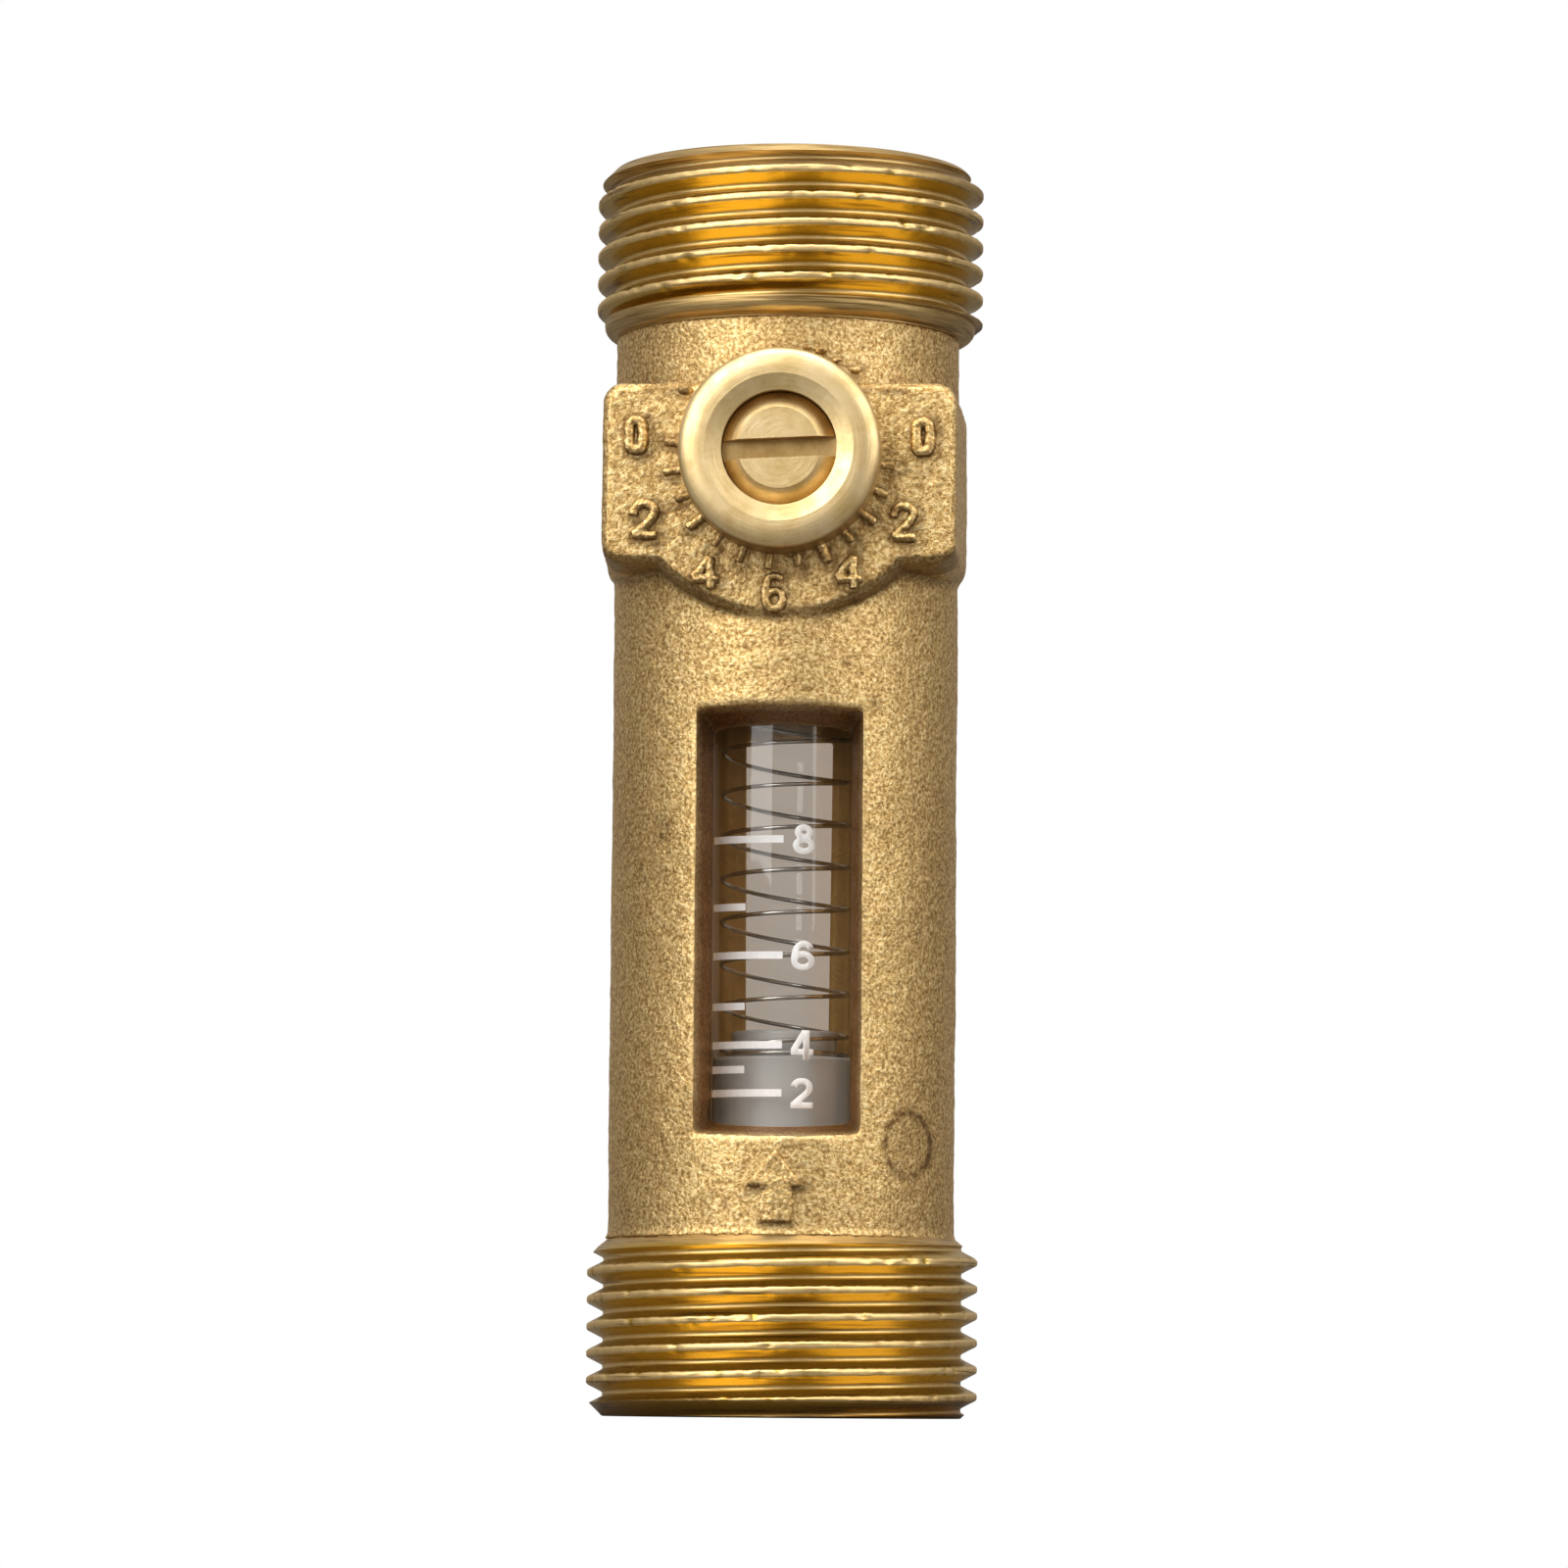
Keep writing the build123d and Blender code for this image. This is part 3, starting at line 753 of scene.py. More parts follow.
def dial_digit(digit, x, dz):
    """A raised cast numeral, made of rounded ridges."""
    radius = DIGIT_RADIUS[digit]
    depth = DIAL_Y - RELIEF + radius
    ridges = []
    for stroke in DIGIT_STROKES[digit]:
        points = [(x + px, depth, STEM_Z + dz + pz) for px, pz in stroke]
        ridges.append(strand(points, radius, closed=digit == "0", smooth=len(stroke) > 3))
    return ridges


def dial_ticks():
    """The short ridges round the lower half of the boss."""
    radius = TICK_RADIUS
    ridges = []
    for k in range(TICK_COUNT):
        angle = math.radians(TICK_START + TICK_STEP * k)
        sink = 0.12 * (1 + math.sin(3.7 * k))
        ends = [
            (r * math.cos(angle), DIAL_Y - RELIEF + radius + sink, STEM_Z + r * math.sin(angle))
            for r in (BOSS_R - 0.5, BOSS_R + TICK_REACH - 1.5 * sink)
        ]
        ridges.append(strand(ends, radius, smooth=False))
    return ridges


def flow_arrow():
    """The raised arrow under the front window, bent to the casting."""
    bm = bmesh.new()
    face = bm.faces.new([bm.verts.new((x, 0, z)) for x, z in ARROW_OUTLINE])
    bmesh.ops.triangulate(bm, faces=[face])
    bmesh.ops.subdivide_edges(bm, edges=bm.edges, cuts=5, use_grid_fill=True)
    made = bmesh.ops.extrude_face_region(bm, geom=list(bm.faces))
    front = [item for item in made["geom"] if isinstance(item, bmesh.types.BMVert)]
    bmesh.ops.translate(bm, verts=front, vec=(0, -RELIEF - 0.5, 0))
    for vert in bm.verts:
        vert.co.y += 0.5 - math.sqrt(BODY_R ** 2 - vert.co.x ** 2)
    bmesh.ops.recalc_face_normals(bm, faces=bm.faces)
    return bm


LUMPS = [(2.6, 71.1, 0.42), (3.6, 70.5, 0.34), (4.9, 69.9, 0.4), (1.7, 71.3, 0.3), (-6.4, 68.3, 0.4)]


def cast_lumps():
    """Small leftover lumps on the casting, above the boss and beside it."""
    lumps = []
    for x, z, radius in LUMPS:
        ball = bmesh.new()
        bmesh.ops.create_icosphere(ball, subdivisions=2, radius=radius)
        depth = -math.sqrt(BODY_R ** 2 - x ** 2) if z > DIAL_TOP_Z else DIAL_Y
        sized(ball, (1.3, 0.7, 0.8))
        moved(ball, (x, depth, z))
        lumps.append(ball)
    return lumps


def raised_marks(finish):
    """The numerals, ticks and arrow that stand out of the casting."""
    shapes = dial_ticks() + [flow_arrow()] + cast_lumps()
    for digit, x, dz in DIAL_DIGITS:
        shapes += dial_digit(digit, x, dz)
    skin = cast_waviness(remeshed(joined(*shapes), MARKS_VOXEL, 3), 1.5)
    piece = piece_from("raised_marks", skin, finish, smooth_angle=None)
    mark_shade_and_worn_edges(piece)
    mark_stains_and_shadows(piece)


def remeshed(bm, voxel, smoothing):
    """One closed skin round all the solids of a bmesh, with its edges softened."""
    made = temporary(bm)
    remesh = made.modifiers.new("skin", "REMESH")
    remesh.mode = "VOXEL"
    remesh.voxel_size = voxel
    soften = made.modifiers.new("soften", "SMOOTH")
    soften.factor = 0.5
    soften.iterations = smoothing
    result = evaluated_bmesh(made)
    drop(made)
    return result


WAVY_FROM_R = 7.2
CAST_ASIDE = -0.12


def cast_waviness(bm, share=1.0):
    """Moves the outer skin a little, and its sides to the left, as a casting is never quite true."""
    bm.normal_update()
    for vert in bm.verts:
        place = vert.co
        if place.x ** 2 + place.y ** 2 < WAVY_FROM_R ** 2:
            continue
        low = noise.noise(place * 0.22) * 0.06 + 0.02
        fine = noise.noise(place * 1.1) * 0.03 + noise.noise(place * 2.6) * 0.03
        aside = min(1.0, max(0.0, (abs(place.x) - 6) / 3)) * CAST_ASIDE
        vert.co = place + vert.normal * share * (low + fine) + Vector((aside, 0, 0))
    return bm


def thinned(bm, triangles):
    """The same skin with fewer triangles."""
    made = temporary(bm)
    count = sum(len(face.vertices) - 2 for face in made.data.polygons)
    fewer = made.modifiers.new("fewer", "DECIMATE")
    fewer.ratio = min(1.0, triangles / count)
    result = evaluated_bmesh(made)
    drop(made)
    return result


def write_values(piece, name, values, lowest):
    """Writes one value from lowest to 1 on each point of a piece, for its finish."""
    layer = piece.data.attributes.new(name, "FLOAT", "POINT")
    layer.data.foreach_set("value", [min(1.0, max(lowest, value)) for value in values])


HOLLOW_DEPTH = 0.035
HOLLOW_ROUNDS = 6
# How dark the painted shade under the dial block and the painted shadow beside the raised marks are
SHADE_UNDER_DIAL = 0.5
SHADOW_BESIDE_MARKS = 0.7


def mark_shade_and_worn_edges(piece):
    """Writes how hollow the skin is at each point, for the painted shade in corners and crevices; where it
    is convex the value goes below nought, for edges lighter from wear and a painted highlight. Below the
    dial block and just below and right of the raised marks it is at least as dark as the painted shade and
    shadow there."""
    bm = bmesh.new()
    bm.from_mesh(piece.data)
    bm.verts.ensure_lookup_table()
    bm.normal_update()
    value = []
    for vert in bm.verts:
        near = [edge.other_vert(vert).co for edge in vert.link_edges]
        middle = sum(near, Vector()) / len(near)
        value.append((middle - vert.co).dot(vert.normal) / (HOLLOW_DEPTH * MM))
    for _ in range(HOLLOW_ROUNDS):
        around = [
            sum(value[edge.other_vert(vert).index] for edge in vert.link_edges) / len(vert.link_edges)
            for vert in bm.verts
        ]
        value = [0.4 * own + 0.6 * near for own, near in zip(value, around)]
    bm.free()
    strokes = mark_strokes()
    for i, vert in enumerate(piece.data.vertices):
        place = vert.co / MM
        under_dial = place.y < -7 and 50 < place.z < 61 and vert.normal.z < -0.25
        by_dial = place.z > 50 and abs(place.y - DIAL_Y) < 0.35
        by_arrow = place.z < 18 and -12.95 < place.y < -11.05
        if not CASTING_LOW_Z + 0.8 < place.z < COLLAR_LOW_Z:
            value[i] = max(value[i], 0.0)
        # Painted shade on the downward walls under the dial block.
        if under_dial:
            value[i] = max(value[i], min(SHADE_UNDER_DIAL, 0.13 * abs(place.x)))
        # Painted shadow just below and right of the raised marks and the dial's top edges.
        if by_dial or by_arrow:
            value[i] = max(value[i], SHADOW_BESIDE_MARKS * shadow_beside(place, strokes))
    write_values(piece, "hollow", value, -1.0)


DIAL_EDGES = [((-9.3, 68.5), (-5.0, 68.55)), ((5.4, 68.5), (11.0, 68.4))]
SHADOW_RIGHT = 0.13
SHADOW_DOWN = 0.15
SHADOW_WIDTH = 0.36


def mark_strokes():
    """The middle lines of the raised marks in the XZ plane, each as (start, end, half width)."""
    strokes = []
    for digit, x, dz in DIAL_DIGITS:
        for stroke in DIGIT_STROKES[digit]:
            points = [Vector((x + px, STEM_Z + dz + pz)) for px, pz in stroke]
            if digit == "0":
                points.append(points[0])
            strokes += [(a, b, DIGIT_RADIUS[digit]) for a, b in zip(points, points[1:])]
    for k in range(TICK_COUNT):
        angle = math.radians(TICK_START + TICK_STEP * k)
        ray = Vector((math.cos(angle), math.sin(angle)))
        foot = Vector((0, STEM_Z))
        strokes.append((foot + ray * BOSS_R, foot + ray * (BOSS_R + TICK_REACH), TICK_RADIUS))
    for a, b in DIAL_EDGES:
        strokes.append((Vector(a), Vector(b), 0.0))
    corners = [Vector(point) for point in ARROW_OUTLINE]
    for a, b in ((0, 6), (1, 2), (4, 5)):
        strokes.append((corners[a], corners[b], 0.05))
    return strokes


def shadow_beside(place, strokes):
    """How dark the painted shadow is at a point of the front, just below and right of a raised mark."""
    point = Vector((place.x - SHADOW_RIGHT, place.z + SHADOW_DOWN))
    amount = 0.0
    for start, end, half in strokes:
        if abs(point.x - start.x) > 3 or abs(point.y - start.y) > 3:
            continue
        line = end - start
        along = min(1.0, max(0.0, (point - start).dot(line) / line.length_squared))
        away = (point - start - line * along).length - half
        amount = max(amount, 1 - abs(away - 0.05) / SHADOW_WIDTH)
    return amount


# Brown specks on the front: those close to the raised marks and lumps are painted shadow, the rest are
# stains.
STAINS_AND_SHADOWS = [
    (2.7, 70.9, 0.45), (3.7, 70.3, 0.4), (5.0, 69.8, 0.45), (1.8, 71.2, 0.3), (-6.5, 68.0, 0.4),
    (-7.6, 39.4, 0.35), (-7.9, 38.6, 0.25), (-5.9, 20.6, 0.4), (-6.0, 19.9, 0.35), (-5.8, 19.2, 0.4),
    (-6.1, 18.5, 0.35), (-5.9, 21.4, 0.25), (-7.7, 36.0, 0.3), (-6.6, 33.3, 0.25), (6.3, 47.6, 0.4),
    (-4.4, 14.4, 0.4), (-3.2, 14.1, 0.3), (-1.7, 15.0, 0.4), (1.7, 15.0, 0.4), (4.5, 50.2, 0.2),
    (-7.0, 64.2, 0.35), (-6.9, 62.3, 0.35), (-6.6, 60.6, 0.35), (-5.2, 58.9, 0.35), (-3.9, 57.4, 0.3),
    (-2.4, 56.4, 0.35), (-0.1, 56.3, 0.35), (1.6, 56.4, 0.35), (3.6, 57.0, 0.35), (4.9, 58.5, 0.4),
    (6.3, 60.0, 0.4), (7.2, 62.4, 0.4), (7.4, 64.0, 0.35), (-5.2, 54.8, 0.3), (-5.75, 55.5, 0.3),
    (3.9, 54.8, 0.3), (5.0, 54.4, 0.3), (-0.4, 53.3, 0.3), (0.5, 56.0, 0.25), (-8.2, 57.9, 0.3),
    (-9.5, 59.3, 0.25), (-7.9, 60.1, 0.25), (7.3, 58.5, 0.25), (8.5, 57.9, 0.3), (9.1, 59.5, 0.25),
    (7.6, 60.2, 0.25), (-8.3, 65.2, 0.25), (-9.3, 63.4, 0.25), (9.4, 62.9, 0.3), (8.5, 63.6, 0.25),
    (10.5, 65.6, 0.25),
]
RING_STAIN = (8.63, 18.16, 1.45, 2.1)


def mark_stains_and_shadows(piece):
    """Writes the brown specks and the brown ring of the casting's front. The ring and the specks away from
    the raised marks are stains; the specks close to the numerals, ticks, arrow and lumps are painted
    shadow.
    """
    ring_x, ring_z, ring_wide, ring_high = RING_STAIN
    value = []
    for vert in piece.data.vertices:
        place = vert.co / MM
        if place.y > 0 or place.z < 12:
            value.append(0.0)
            continue
        amount = 0.0
        speckle = 0.5 + 0.9 * noise.noise(place * 2.3)
        for x, z, radius in STAINS_AND_SHADOWS:
            distance = math.hypot(place.x - x, place.z - z) / radius
            if distance < 2:
                amount = max(amount, (1 - distance / 2) * 1.2 * speckle)
        away = math.hypot((place.x - ring_x) / ring_wide, (place.z - ring_z) / ring_high)
        if away < 1.5:
            ring = math.exp(-((away - 1) / 0.13) ** 2) * (0.35 + 1.1 * max(0.0, speckle))
            amount = max(amount, ring, 0.16 if away < 1 else 0.0)
        value.append(amount)
    write_values(piece, "stain_and_shadow", value, 0.0)


DIAL_HALF_WIDTH = 11.8
DIAL_TOP_Z = 68.8
DIAL_LOW_Z = 56.7
DIAL_CORNER_R = 1.35
DIAL_DRAFT = 2.1


def dial_corners():
    """What the worn, rounded corners of the dial block leave out of its square, drafted shape."""
    body = [(0, 50.0), (BODY_R + 0.01, 50.0), (BODY_R + 0.01, 75.0), (0, 75.0)]
    rod = [(0, -3.0), (DIAL_CORNER_R, -3.0), (DIAL_CORNER_R, 21.0), (0, 21.0)]
    waste = []
    for side in (-1, 1):
        for end_z, way in ((DIAL_TOP_Z, 1), (DIAL_LOW_Z, -1)):
            x = side * (DIAL_HALF_WIDTH - DIAL_CORNER_R)
            z = end_z - way * DIAL_CORNER_R
            low = (min(x, x + 3 * side), -20.0, min(z, z + 3 * way))
            high = (max(x, x + 3 * side), 1.6, max(z, z + 3 * way))
            core = on_stem(turned(rod, 64))
            moved(core, (x, 0, z - STEM_Z))
            corner = combined(block(low, high), core, "DIFFERENCE")
            for vert in corner.verts:
                spread = (vert.co.y - DIAL_Y) * math.tan(math.radians(DIAL_DRAFT))
                vert.co.x += side * spread
                vert.co.z += way * spread
            waste.append(combined(corner, turned(body), "DIFFERENCE"))
    return waste


def casting(finish):
    """The cast body between the two turned ends, without its faced boss."""
    span = turned([
        (0, CASTING_LOW_Z),
        (2 * THREAD_R, CASTING_LOW_Z),
        (2 * THREAD_R, COLLAR_LOW_Z - 0.4),
        (BODY_R + 0.001, COLLAR_LOW_Z - 0.4),
        (BODY_R + 0.001, CASTING_HIGH_Z),
        (0, CASTING_HIGH_Z),
    ], CASTING_STEPS)
    solid = combined(cad_solid("valve_body"), span, "INTERSECT")
    boss_room = on_stem(turned([
        (0, -FLANGE_POCKET_Y - 0.5),
        (STEM_BORE_R + 1.0, -FLANGE_POCKET_Y - 0.5),
        (STEM_BORE_R + 1.0, -DIAL_Y + 0.02),
        (BOSS_R + 0.8, -DIAL_Y + 0.02),
        (BOSS_R + 0.8, 20.0),
        (0, 20.0),
    ], 96))
    solid = combined(solid, boss_room, "DIFFERENCE")
    for corner in dial_corners():
        solid = combined(solid, corner, "DIFFERENCE")
    skin = remeshed(solid, CASTING_VOXEL, 1)
    skin = thinned(cast_waviness(skin), CASTING_TRIANGLES)
    piece = piece_from("casting", skin, finish, smooth_angle=None)
    mark_shade_and_worn_edges(piece)
    mark_stains_and_shadows(piece)
    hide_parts("valve_body")


BOSS_FLAT_R = 5.3
BOSS_RIM_DROP = 0.75
BOSS_RIM_STEPS = 16


def boss_ring(finish):
    """The faced ring round the stem and its bore, with a softly worn rim."""
    rim = []
    for k in range(BOSS_RIM_STEPS + 1):
        angle = math.pi / 2 * k / BOSS_RIM_STEPS
        out = (BOSS_R - BOSS_FLAT_R) * math.sin(angle)
        rim.append((BOSS_FLAT_R + out, -BOSS_Y - BOSS_RIM_DROP * (1 - math.cos(angle))))
    outline = [
        (STEM_BORE_R, -FLANGE_POCKET_Y),
        (STEM_BORE_R, -BOSS_Y - 0.3),
        (STEM_BORE_R + 1.1, -BOSS_Y),
    ] + rim + [(BOSS_R, -FLANGE_POCKET_Y)]
    piece = piece_from("boss_ring", on_stem(turned(outline)), finish, smooth_angle=12)
    even_normals(piece)


def even_normals(piece):
    """Keeps flat faces flat where they meet small rounded edges."""
    even = piece.modifiers.new("even", "WEIGHTED_NORMAL")
    even.keep_sharp = True
    even.weight = 80


# Stem, tube, scale, float and spring

def valve_stem(finish):
    """The slotted stem: a finely turned head on the grooves and tang of its CAD solid."""
    outline = [
        (0.0, STEM_HEAD_BACK),
        (STEM_R, STEM_HEAD_BACK),
        (STEM_R, -STEM_FACE_Y - 0.8),
        (STEM_FLAT_R, -STEM_FACE_Y),
        (0.0, -STEM_FACE_Y),
    ]
    head = turned(rounded(outline, 0.1, sharp=(0, 1, 3, 4)), 160)
    slot = block((-8, -STEM_SLOT_WIDTH / 2, -STEM_FACE_Y - STEM_SLOT_DEPTH), (8, STEM_SLOT_WIDTH / 2, 20))
    turn = Matrix.Rotation(math.radians(STEM_SLOT_TURN), 3, "Z")
    swung(slot, turn)
    head = on_stem(combined(head, slot, "DIFFERENCE"))
    rear = block((-8, -STEM_HEAD_BACK, STEM_Z - 8), (8, 0, STEM_Z + 8))
    shank = combined(cad_solid("stem"), rear, "INTERSECT")
    piece = piece_from("slotted_stem", joined(head, shank), finish, body="stem_body",
                       smooth_angle=30)
    for face in piece.data.polygons:
        radius = math.hypot(face.center.x, face.center.z - STEM_Z * MM) / MM
        level = abs(face.normal.y)
        flat = level > 0.98 or (level < 0.1 and radius < STEM_R - 0.1)
        if face.center.y < -STEM_HEAD_BACK * MM and flat:
            face.use_smooth = False
    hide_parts("stem")


def sight_glass(finish):
    """The clear tube."""
    outline = rounded([
        (TUBE_BORE_LOW_R, TUBE_LOW_Z),
        (TUBE_R, TUBE_LOW_Z),
        (TUBE_R, TUBE_HIGH_Z),
        (TUBE_BORE_HIGH_R, TUBE_HIGH_Z),
    ], 0.15)
    piece = piece_from("sight_glass", turned(outline, 160), finish, smooth_angle=5)
    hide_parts("sight_tube")


PRINT_LIFT = 0.012
SCALE_LINES = [
    (38.69, True), (34.13, False), (30.87, True), (27.44, False),
    (24.84, True), (23.20, False), (21.62, True),
]
SCALE_DIGITS = [("8", 38.69), ("6", 30.87), ("4", 24.84), ("2", 21.62)]
LINE_LEFT = -4.62
LONG_RIGHT = 0.14
SHORT_RIGHT = -2.4
LINE_WIDTH = 0.5
DIGIT_MIDDLE = 1.5


def wrapped(bm):
    """Lays a flat print in the XZ plane on the front of the tube."""
    radius = TUBE_R + PRINT_LIFT
    for vert in bm.verts:
        vert.co.y -= math.sqrt(radius ** 2 - vert.co.x ** 2)
    return bm


def printed_scale(finish):
    """The white lines and figures of the scale."""
    marks = []
    for z, is_long in SCALE_LINES:
        right = LONG_RIGHT if is_long else SHORT_RIGHT
        line = bmesh.new()
        bmesh.ops.create_grid(line, x_segments=24, y_segments=1, size=0.5)
        sized(line, (right - LINE_LEFT, LINE_WIDTH, 1))
        swung(line, UPRIGHT)
        moved(line, ((right + LINE_LEFT) / 2, 0, z))
        marks.append(line)
    for digit, z in SCALE_DIGITS:
        marks.append(printed_digit(digit, z))
    piece_from("printed_scale", wrapped(joined(*marks)), finish, smooth_angle=None)


RING_STEPS = 16


def ring_points(x, z, wide, high):
    """Points round an ellipse, for a closed stroke."""
    angles = [2 * math.pi / RING_STEPS * k for k in range(RING_STEPS)]
    return [(x + wide * math.cos(angle), z + high * math.sin(angle)) for angle in angles]


PRINT_HALF = 0.215
PRINT_DEPTH = 0.03
PRINT_STROKES = {
    "8": [ring_points(0, 0.47, 0.42, 0.34), ring_points(0, -0.42, 0.54, 0.40)],
    "6": [ring_points(0, -0.36, 0.59, 0.45),
          [(-0.59, -0.30), (-0.57, 0.15), (-0.38, 0.60), (0.0, 0.82), (0.36, 0.72), (0.55, 0.45)]],
    "4": [[(0.27, -1.0), (0.27, 1.0)], [(0.2, 0.95), (-0.62, -0.42)], [(-0.75, -0.47), (0.75, -0.47)]],
    "2": [[(-0.55, 0.42), (-0.45, 0.70), (-0.08, 0.82), (0.33, 0.76), (0.54, 0.46), (0.45, 0.12),
           (0.1, -0.22), (-0.33, -0.55), (-0.56, -0.80)], [(-0.74, -0.82), (0.74, -0.82)]],
}


def printed_digit(digit, z):
    """A flat bold numeral with a little thickness, standing in the XZ plane."""
    bars = []
    for stroke in PRINT_STROKES[digit]:
        points = [(px, 0, pz) for px, pz in stroke]
        bars.append(strand(points, PRINT_HALF, closed=len(stroke) == RING_STEPS, smooth=len(stroke) > 3))
    slab = block((-2, -PRINT_DEPTH, -2), (2, PRINT_DEPTH, 2))
    bm = combined(remeshed(joined(*bars), PRINT_VOXEL, 2), slab, "INTERSECT")
    sized(bm, (1, 0.3, 1))
    moved(bm, (DIGIT_MIDDLE, 0, z))
    for cut in range(-4, 5):
        bmesh.ops.bisect_plane(
            bm, geom=list(bm.verts) + list(bm.edges) + list(bm.faces),
            plane_co=(DIGIT_MIDDLE + 0.19 * cut, 0, 0), plane_no=(1, 0, 0),
        )
    bmesh.ops.triangulate(bm, faces=bm.faces)
    return bm


def float_piece(finish):
    """The grey float with its neck and hollow."""
    outline = rounded([
        (FLOAT_HOLLOW_R, FLOAT_LOW_Z),
        (FLOAT_R, FLOAT_LOW_Z),
        (FLOAT_R, FLOAT_SHOULDER_Z),
        (FLOAT_NECK_R, FLOAT_SHOULDER_Z),
        (FLOAT_NECK_R, FLOAT_TOP_Z),
        (0.0, FLOAT_TOP_Z),
        (0.0, FLOAT_HOLLOW_Z),
        (FLOAT_HOLLOW_R, FLOAT_HOLLOW_Z),
    ], 0.25, sharp=(3, 5, 6))
    piece = piece_from("float_skirt", turned(outline, 128), finish, body="float_body")
    even_normals(piece)
    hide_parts("float")


def spring_wire(finish):
    """The float's coil spring, of round wire, with a closed turn at each end."""
    low = FLOAT_SHOULDER_Z + SPRING_WIRE / 2
    high = SPRING_HIGH_Z - SPRING_WIRE / 2
    open_low, open_high = low + SPRING_END_RISE, high - SPRING_END_RISE
    open_angle = math.pi - 2 * math.pi * (SPRING_LEFT_Z - open_low) / SPRING_PITCH
    open_turns = (open_high - open_low) / SPRING_PITCH
    points = []
    total = int(SPRING_STEPS * (open_turns + 2))
    for k in range(total + 1):
        turns = k * (open_turns + 2) / total
        if turns < 1:
            z = low + SPRING_END_RISE * turns
        elif turns < 1 + open_turns:
            z = open_low + SPRING_PITCH * (turns - 1)
        else:
            z = open_high + SPRING_END_RISE * (turns - 1 - open_turns)
        angle = open_angle + 2 * math.pi * (turns - 1)
        share = min(1.0, (z - low) / 1.5, (high - z) / 1.5)
        lean = SPRING_LEAN / 2 * math.cos(angle) * share
        points.append((SPRING_R * math.cos(angle), SPRING_R * math.sin(angle), z - lean))
    bm = strand(points, SPRING_WIRE / 2, smooth=False)
    piece = piece_from("spring_wire", bm, finish, smooth_angle=60)
    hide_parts("float_spring")
    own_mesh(piece)


# Camera, lamps and background

CAMERA_PLACE = (21.3, -470.0, -1.73)
CAMERA_AIM = (-0.16, 0.0, 43.016)
CAMERA_ROLL = 0.488
CAMERA_LENS = 159.12


def camera():
    data = bpy.data.cameras.new("camera")
    data.lens = CAMERA_LENS
    data.sensor_width = 36
    data.clip_start = 0.02
    data.clip_end = 10
    made = placed("camera", data)
    place = Vector(CAMERA_PLACE) * MM
    aim = (Vector(CAMERA_AIM) * MM - place).to_track_quat("-Z", "Y")
    roll = Matrix.Rotation(math.radians(CAMERA_ROLL), 3, "Z")
    made.rotation_mode = "QUATERNION"
    made.location = place
    made.rotation_quaternion = (aim.to_matrix() @ roll).to_quaternion()
    bpy.context.scene.camera = made


def softbox(name, azimuth, elevation, distance, width, height, power):
    """An area lamp at a direction from the middle of the valve; azimuth 0 is in front."""
    data = bpy.data.lights.new(name, "AREA")
    data.shape = "RECTANGLE"
    data.size = width
    data.size_y = height
    data.energy = power
    made = placed(name, data)
    a, e = math.radians(azimuth), math.radians(elevation)
    middle = Vector((0, 0, LENGTH / 2 * MM))
    back = Vector((math.sin(a) * math.cos(e), -math.cos(a) * math.cos(e), math.sin(e)))
    made.location = middle + back * distance
    made.rotation_mode = "QUATERNION"
    made.rotation_quaternion = back.to_track_quat("Z", "Y")


def lamps():
    softbox("lamp_left", -36, 31, 0.8, 0.7, 0.8, 5.9)
    softbox("lamp_right", 58, 29, 0.8, 0.75, 0.75, 3.8)
    softbox("lamp_top", 0, 78, 0.8, 0.6, 0.5, 3.8)


def background():
    """White behind the object, a warm grey painted shade of the backdrop where it is seen through the
    clear tube, and an even soft light round it.
    """
    world = bpy.data.worlds.new("world")
    bpy.context.scene.world = world
    world.use_nodes = True
    tree = world.node_tree
    rays = tree.nodes.new("ShaderNodeLightPath")
    plain = tree.nodes["Background"]
    split = tree.nodes.new("ShaderNodeSeparateXYZ")
    tree.links.new(tree.nodes.new("ShaderNodeTexCoord").outputs["Generated"], split.inputs[0])
    height = scaled(tree, split.outputs["Z"], -0.5, 0.6)
    around = ramp(tree, height, (0.0, (0.12, 0.10, 0.085)), (0.45, (0.29, 0.265, 0.24)),
                  (1.0, (0.54, 0.505, 0.47)))
    tree.links.new(around, plain.inputs["Color"])
    white = tree.nodes.new("ShaderNodeBackground")
    white.inputs["Color"].default_value = (1, 1, 1, 1)
    # Seen through the clear tube the backdrop is warm grey: painted shade of the backdrop behind the
    # valve.
    behind = tree.nodes.new("ShaderNodeBackground")
    behind.inputs["Color"].default_value = (0.44, 0.375, 0.32, 1)
    seen = either(tree, rays.outputs["Is Camera Ray"], plain, white)
    through = either(tree, rays.outputs["Is Transmission Ray"], seen, behind)
    surfaced(tree, through, "World Output")


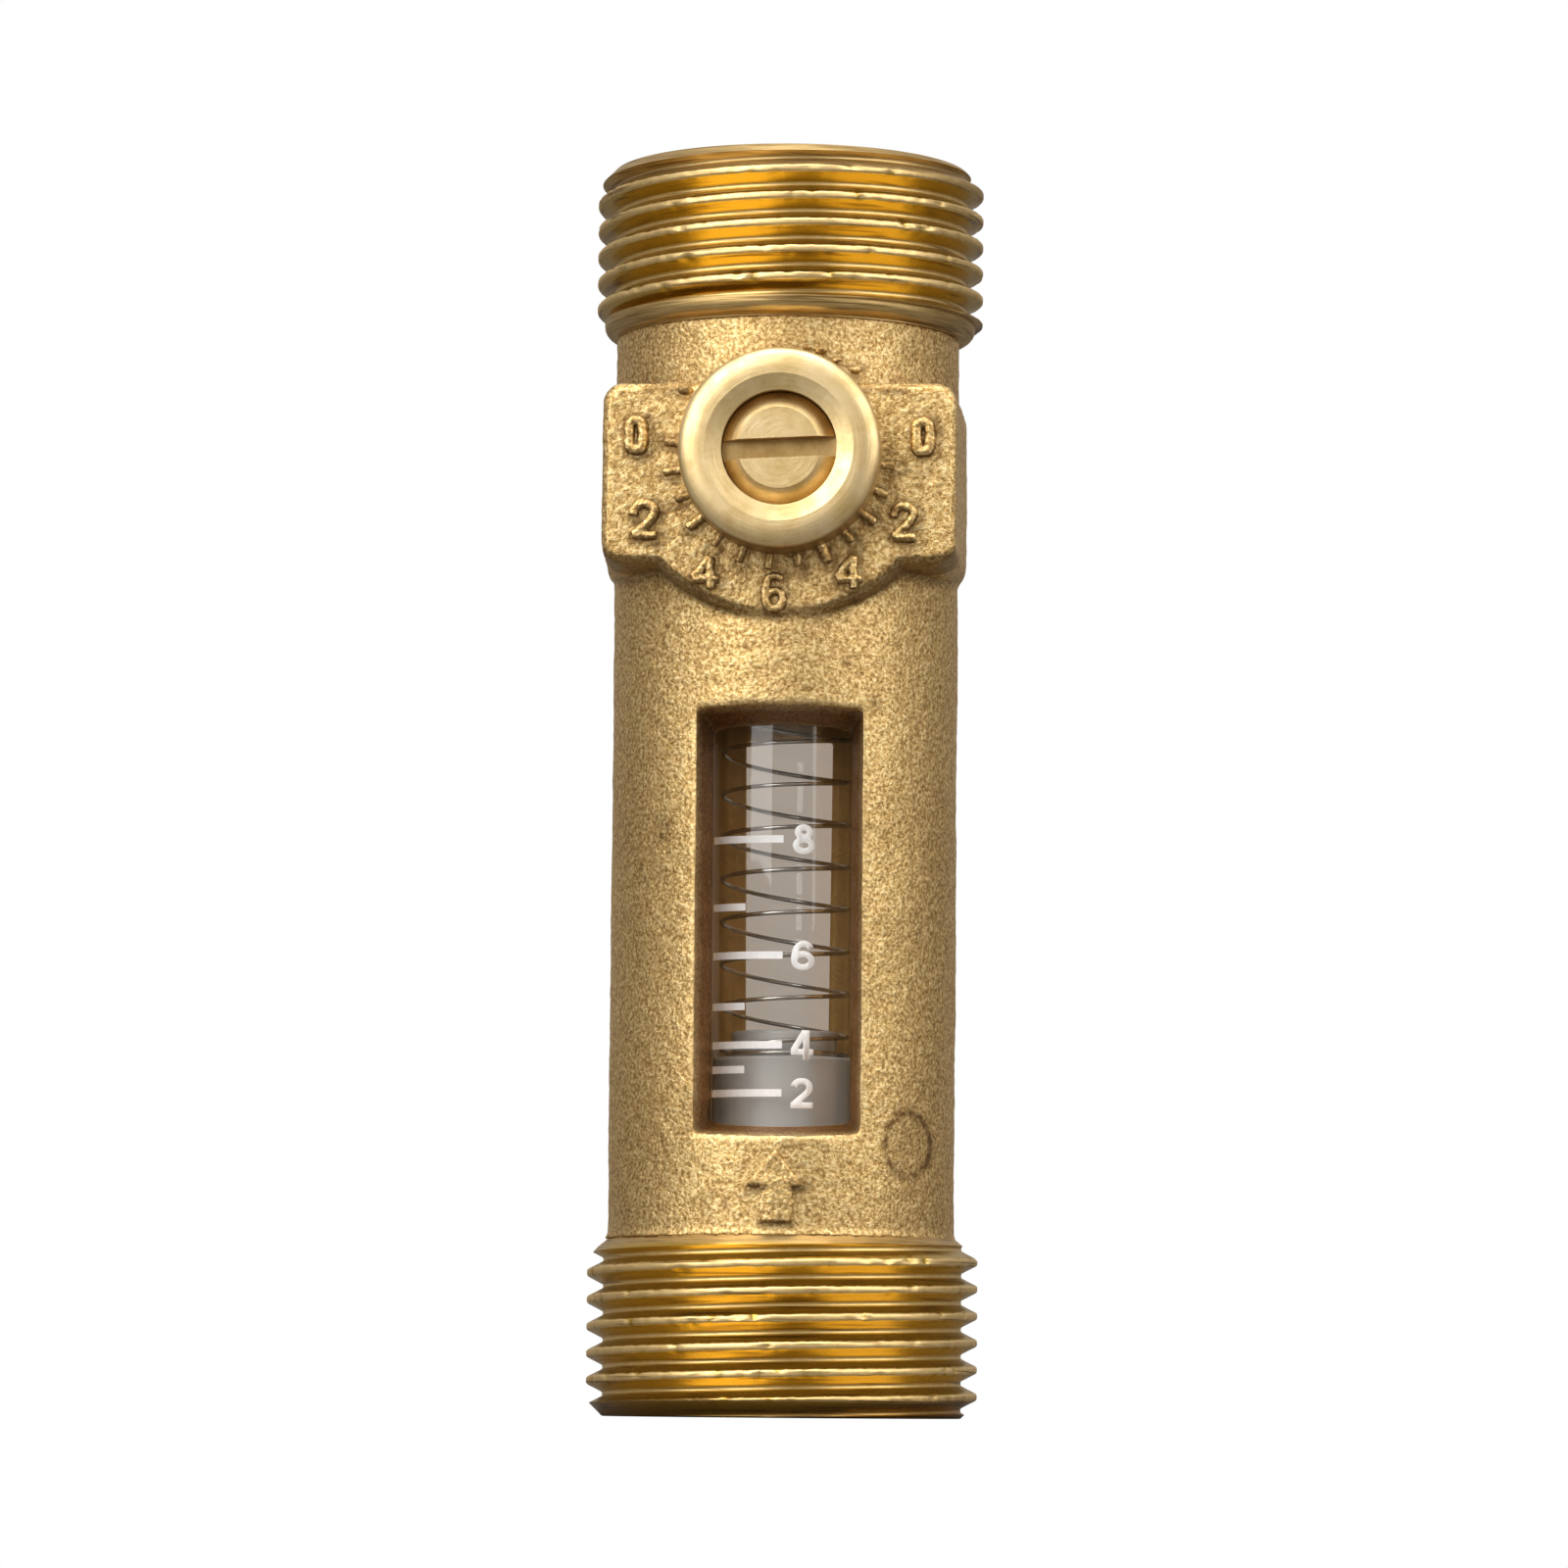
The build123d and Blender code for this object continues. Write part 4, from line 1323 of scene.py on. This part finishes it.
def floor():
    """A pale floor under the valve. It is open from below, because the camera stands lower."""
    bm = bmesh.new()
    bmesh.ops.create_grid(bm, x_segments=1, y_segments=1, size=1.5 / MM)
    moved(bm, (0, 0, -0.02))
    made, tree, shader = new_finish("pale_floor")
    rays = tree.nodes.new("ShaderNodeLightPath")
    seen = mixed(tree, rays.outputs["Is Camera Ray"], (0.16, 0.15, 0.14), (0.88, 0.88, 0.87))
    tree.links.new(seen, shader.inputs["Base Color"])
    shader.inputs["Roughness"].default_value = 0.7
    side = tree.nodes.new("ShaderNodeNewGeometry")
    open_side = tree.nodes.new("ShaderNodeBsdfTransparent")
    surfaced(tree, either(tree, side.outputs["Backfacing"], shader, open_side))
    piece_from("floor", bm, made, body=None)


def dress(node, finish):
    """Gives a CAD node that stays its finish."""
    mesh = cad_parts[node].data
    mesh.materials.clear()
    mesh.materials.append(finish)


def build():
    bpy.context.scene.view_settings.view_transform = "Standard"
    camera()
    background()
    lamps()
    floor()
    cast = cast_brass()
    threads = threaded_brass()
    faced = faced_brass()
    bored = plain_brass()
    casting(cast)
    raised_marks(cast)
    inlet_end(threads)
    outlet_end(threads)
    boss_ring(faced)
    valve_stem(faced)
    sight_glass(clear_tube())
    printed_scale(white_print())
    float_piece(plastic("grey_plastic", (0.44, 0.43, 0.41), 0.36))
    spring_wire(steel("spring_steel", (0.50, 0.48, 0.45), 0.22))
    dress("ball", steel("plated_ball", (0.72, 0.72, 0.72), 0.12))
    dress("tube_retainer", bored)
    dress("seat_retainer", bored)
    white = plastic("white_plastic", (0.74, 0.73, 0.70), 0.4)
    seats = plastic("seat_plastic", (0.80, 0.80, 0.78), 0.45)
    rubber = plastic("seal_rubber", (0.025, 0.025, 0.027), 0.55)
    for node in ("float_seat", "spring_seat", "thrust_washer"):
        dress(node, white)
    for node in ("ball_seat_inlet", "ball_seat_outlet"):
        dress(node, seats)
    for node in ("tube_seal_lower", "tube_seal_upper", "seat_seal_inlet", "seat_seal_outlet",
                 "stem_seal_outer", "stem_seal_inner"):
        dress(node, rubber)


build()
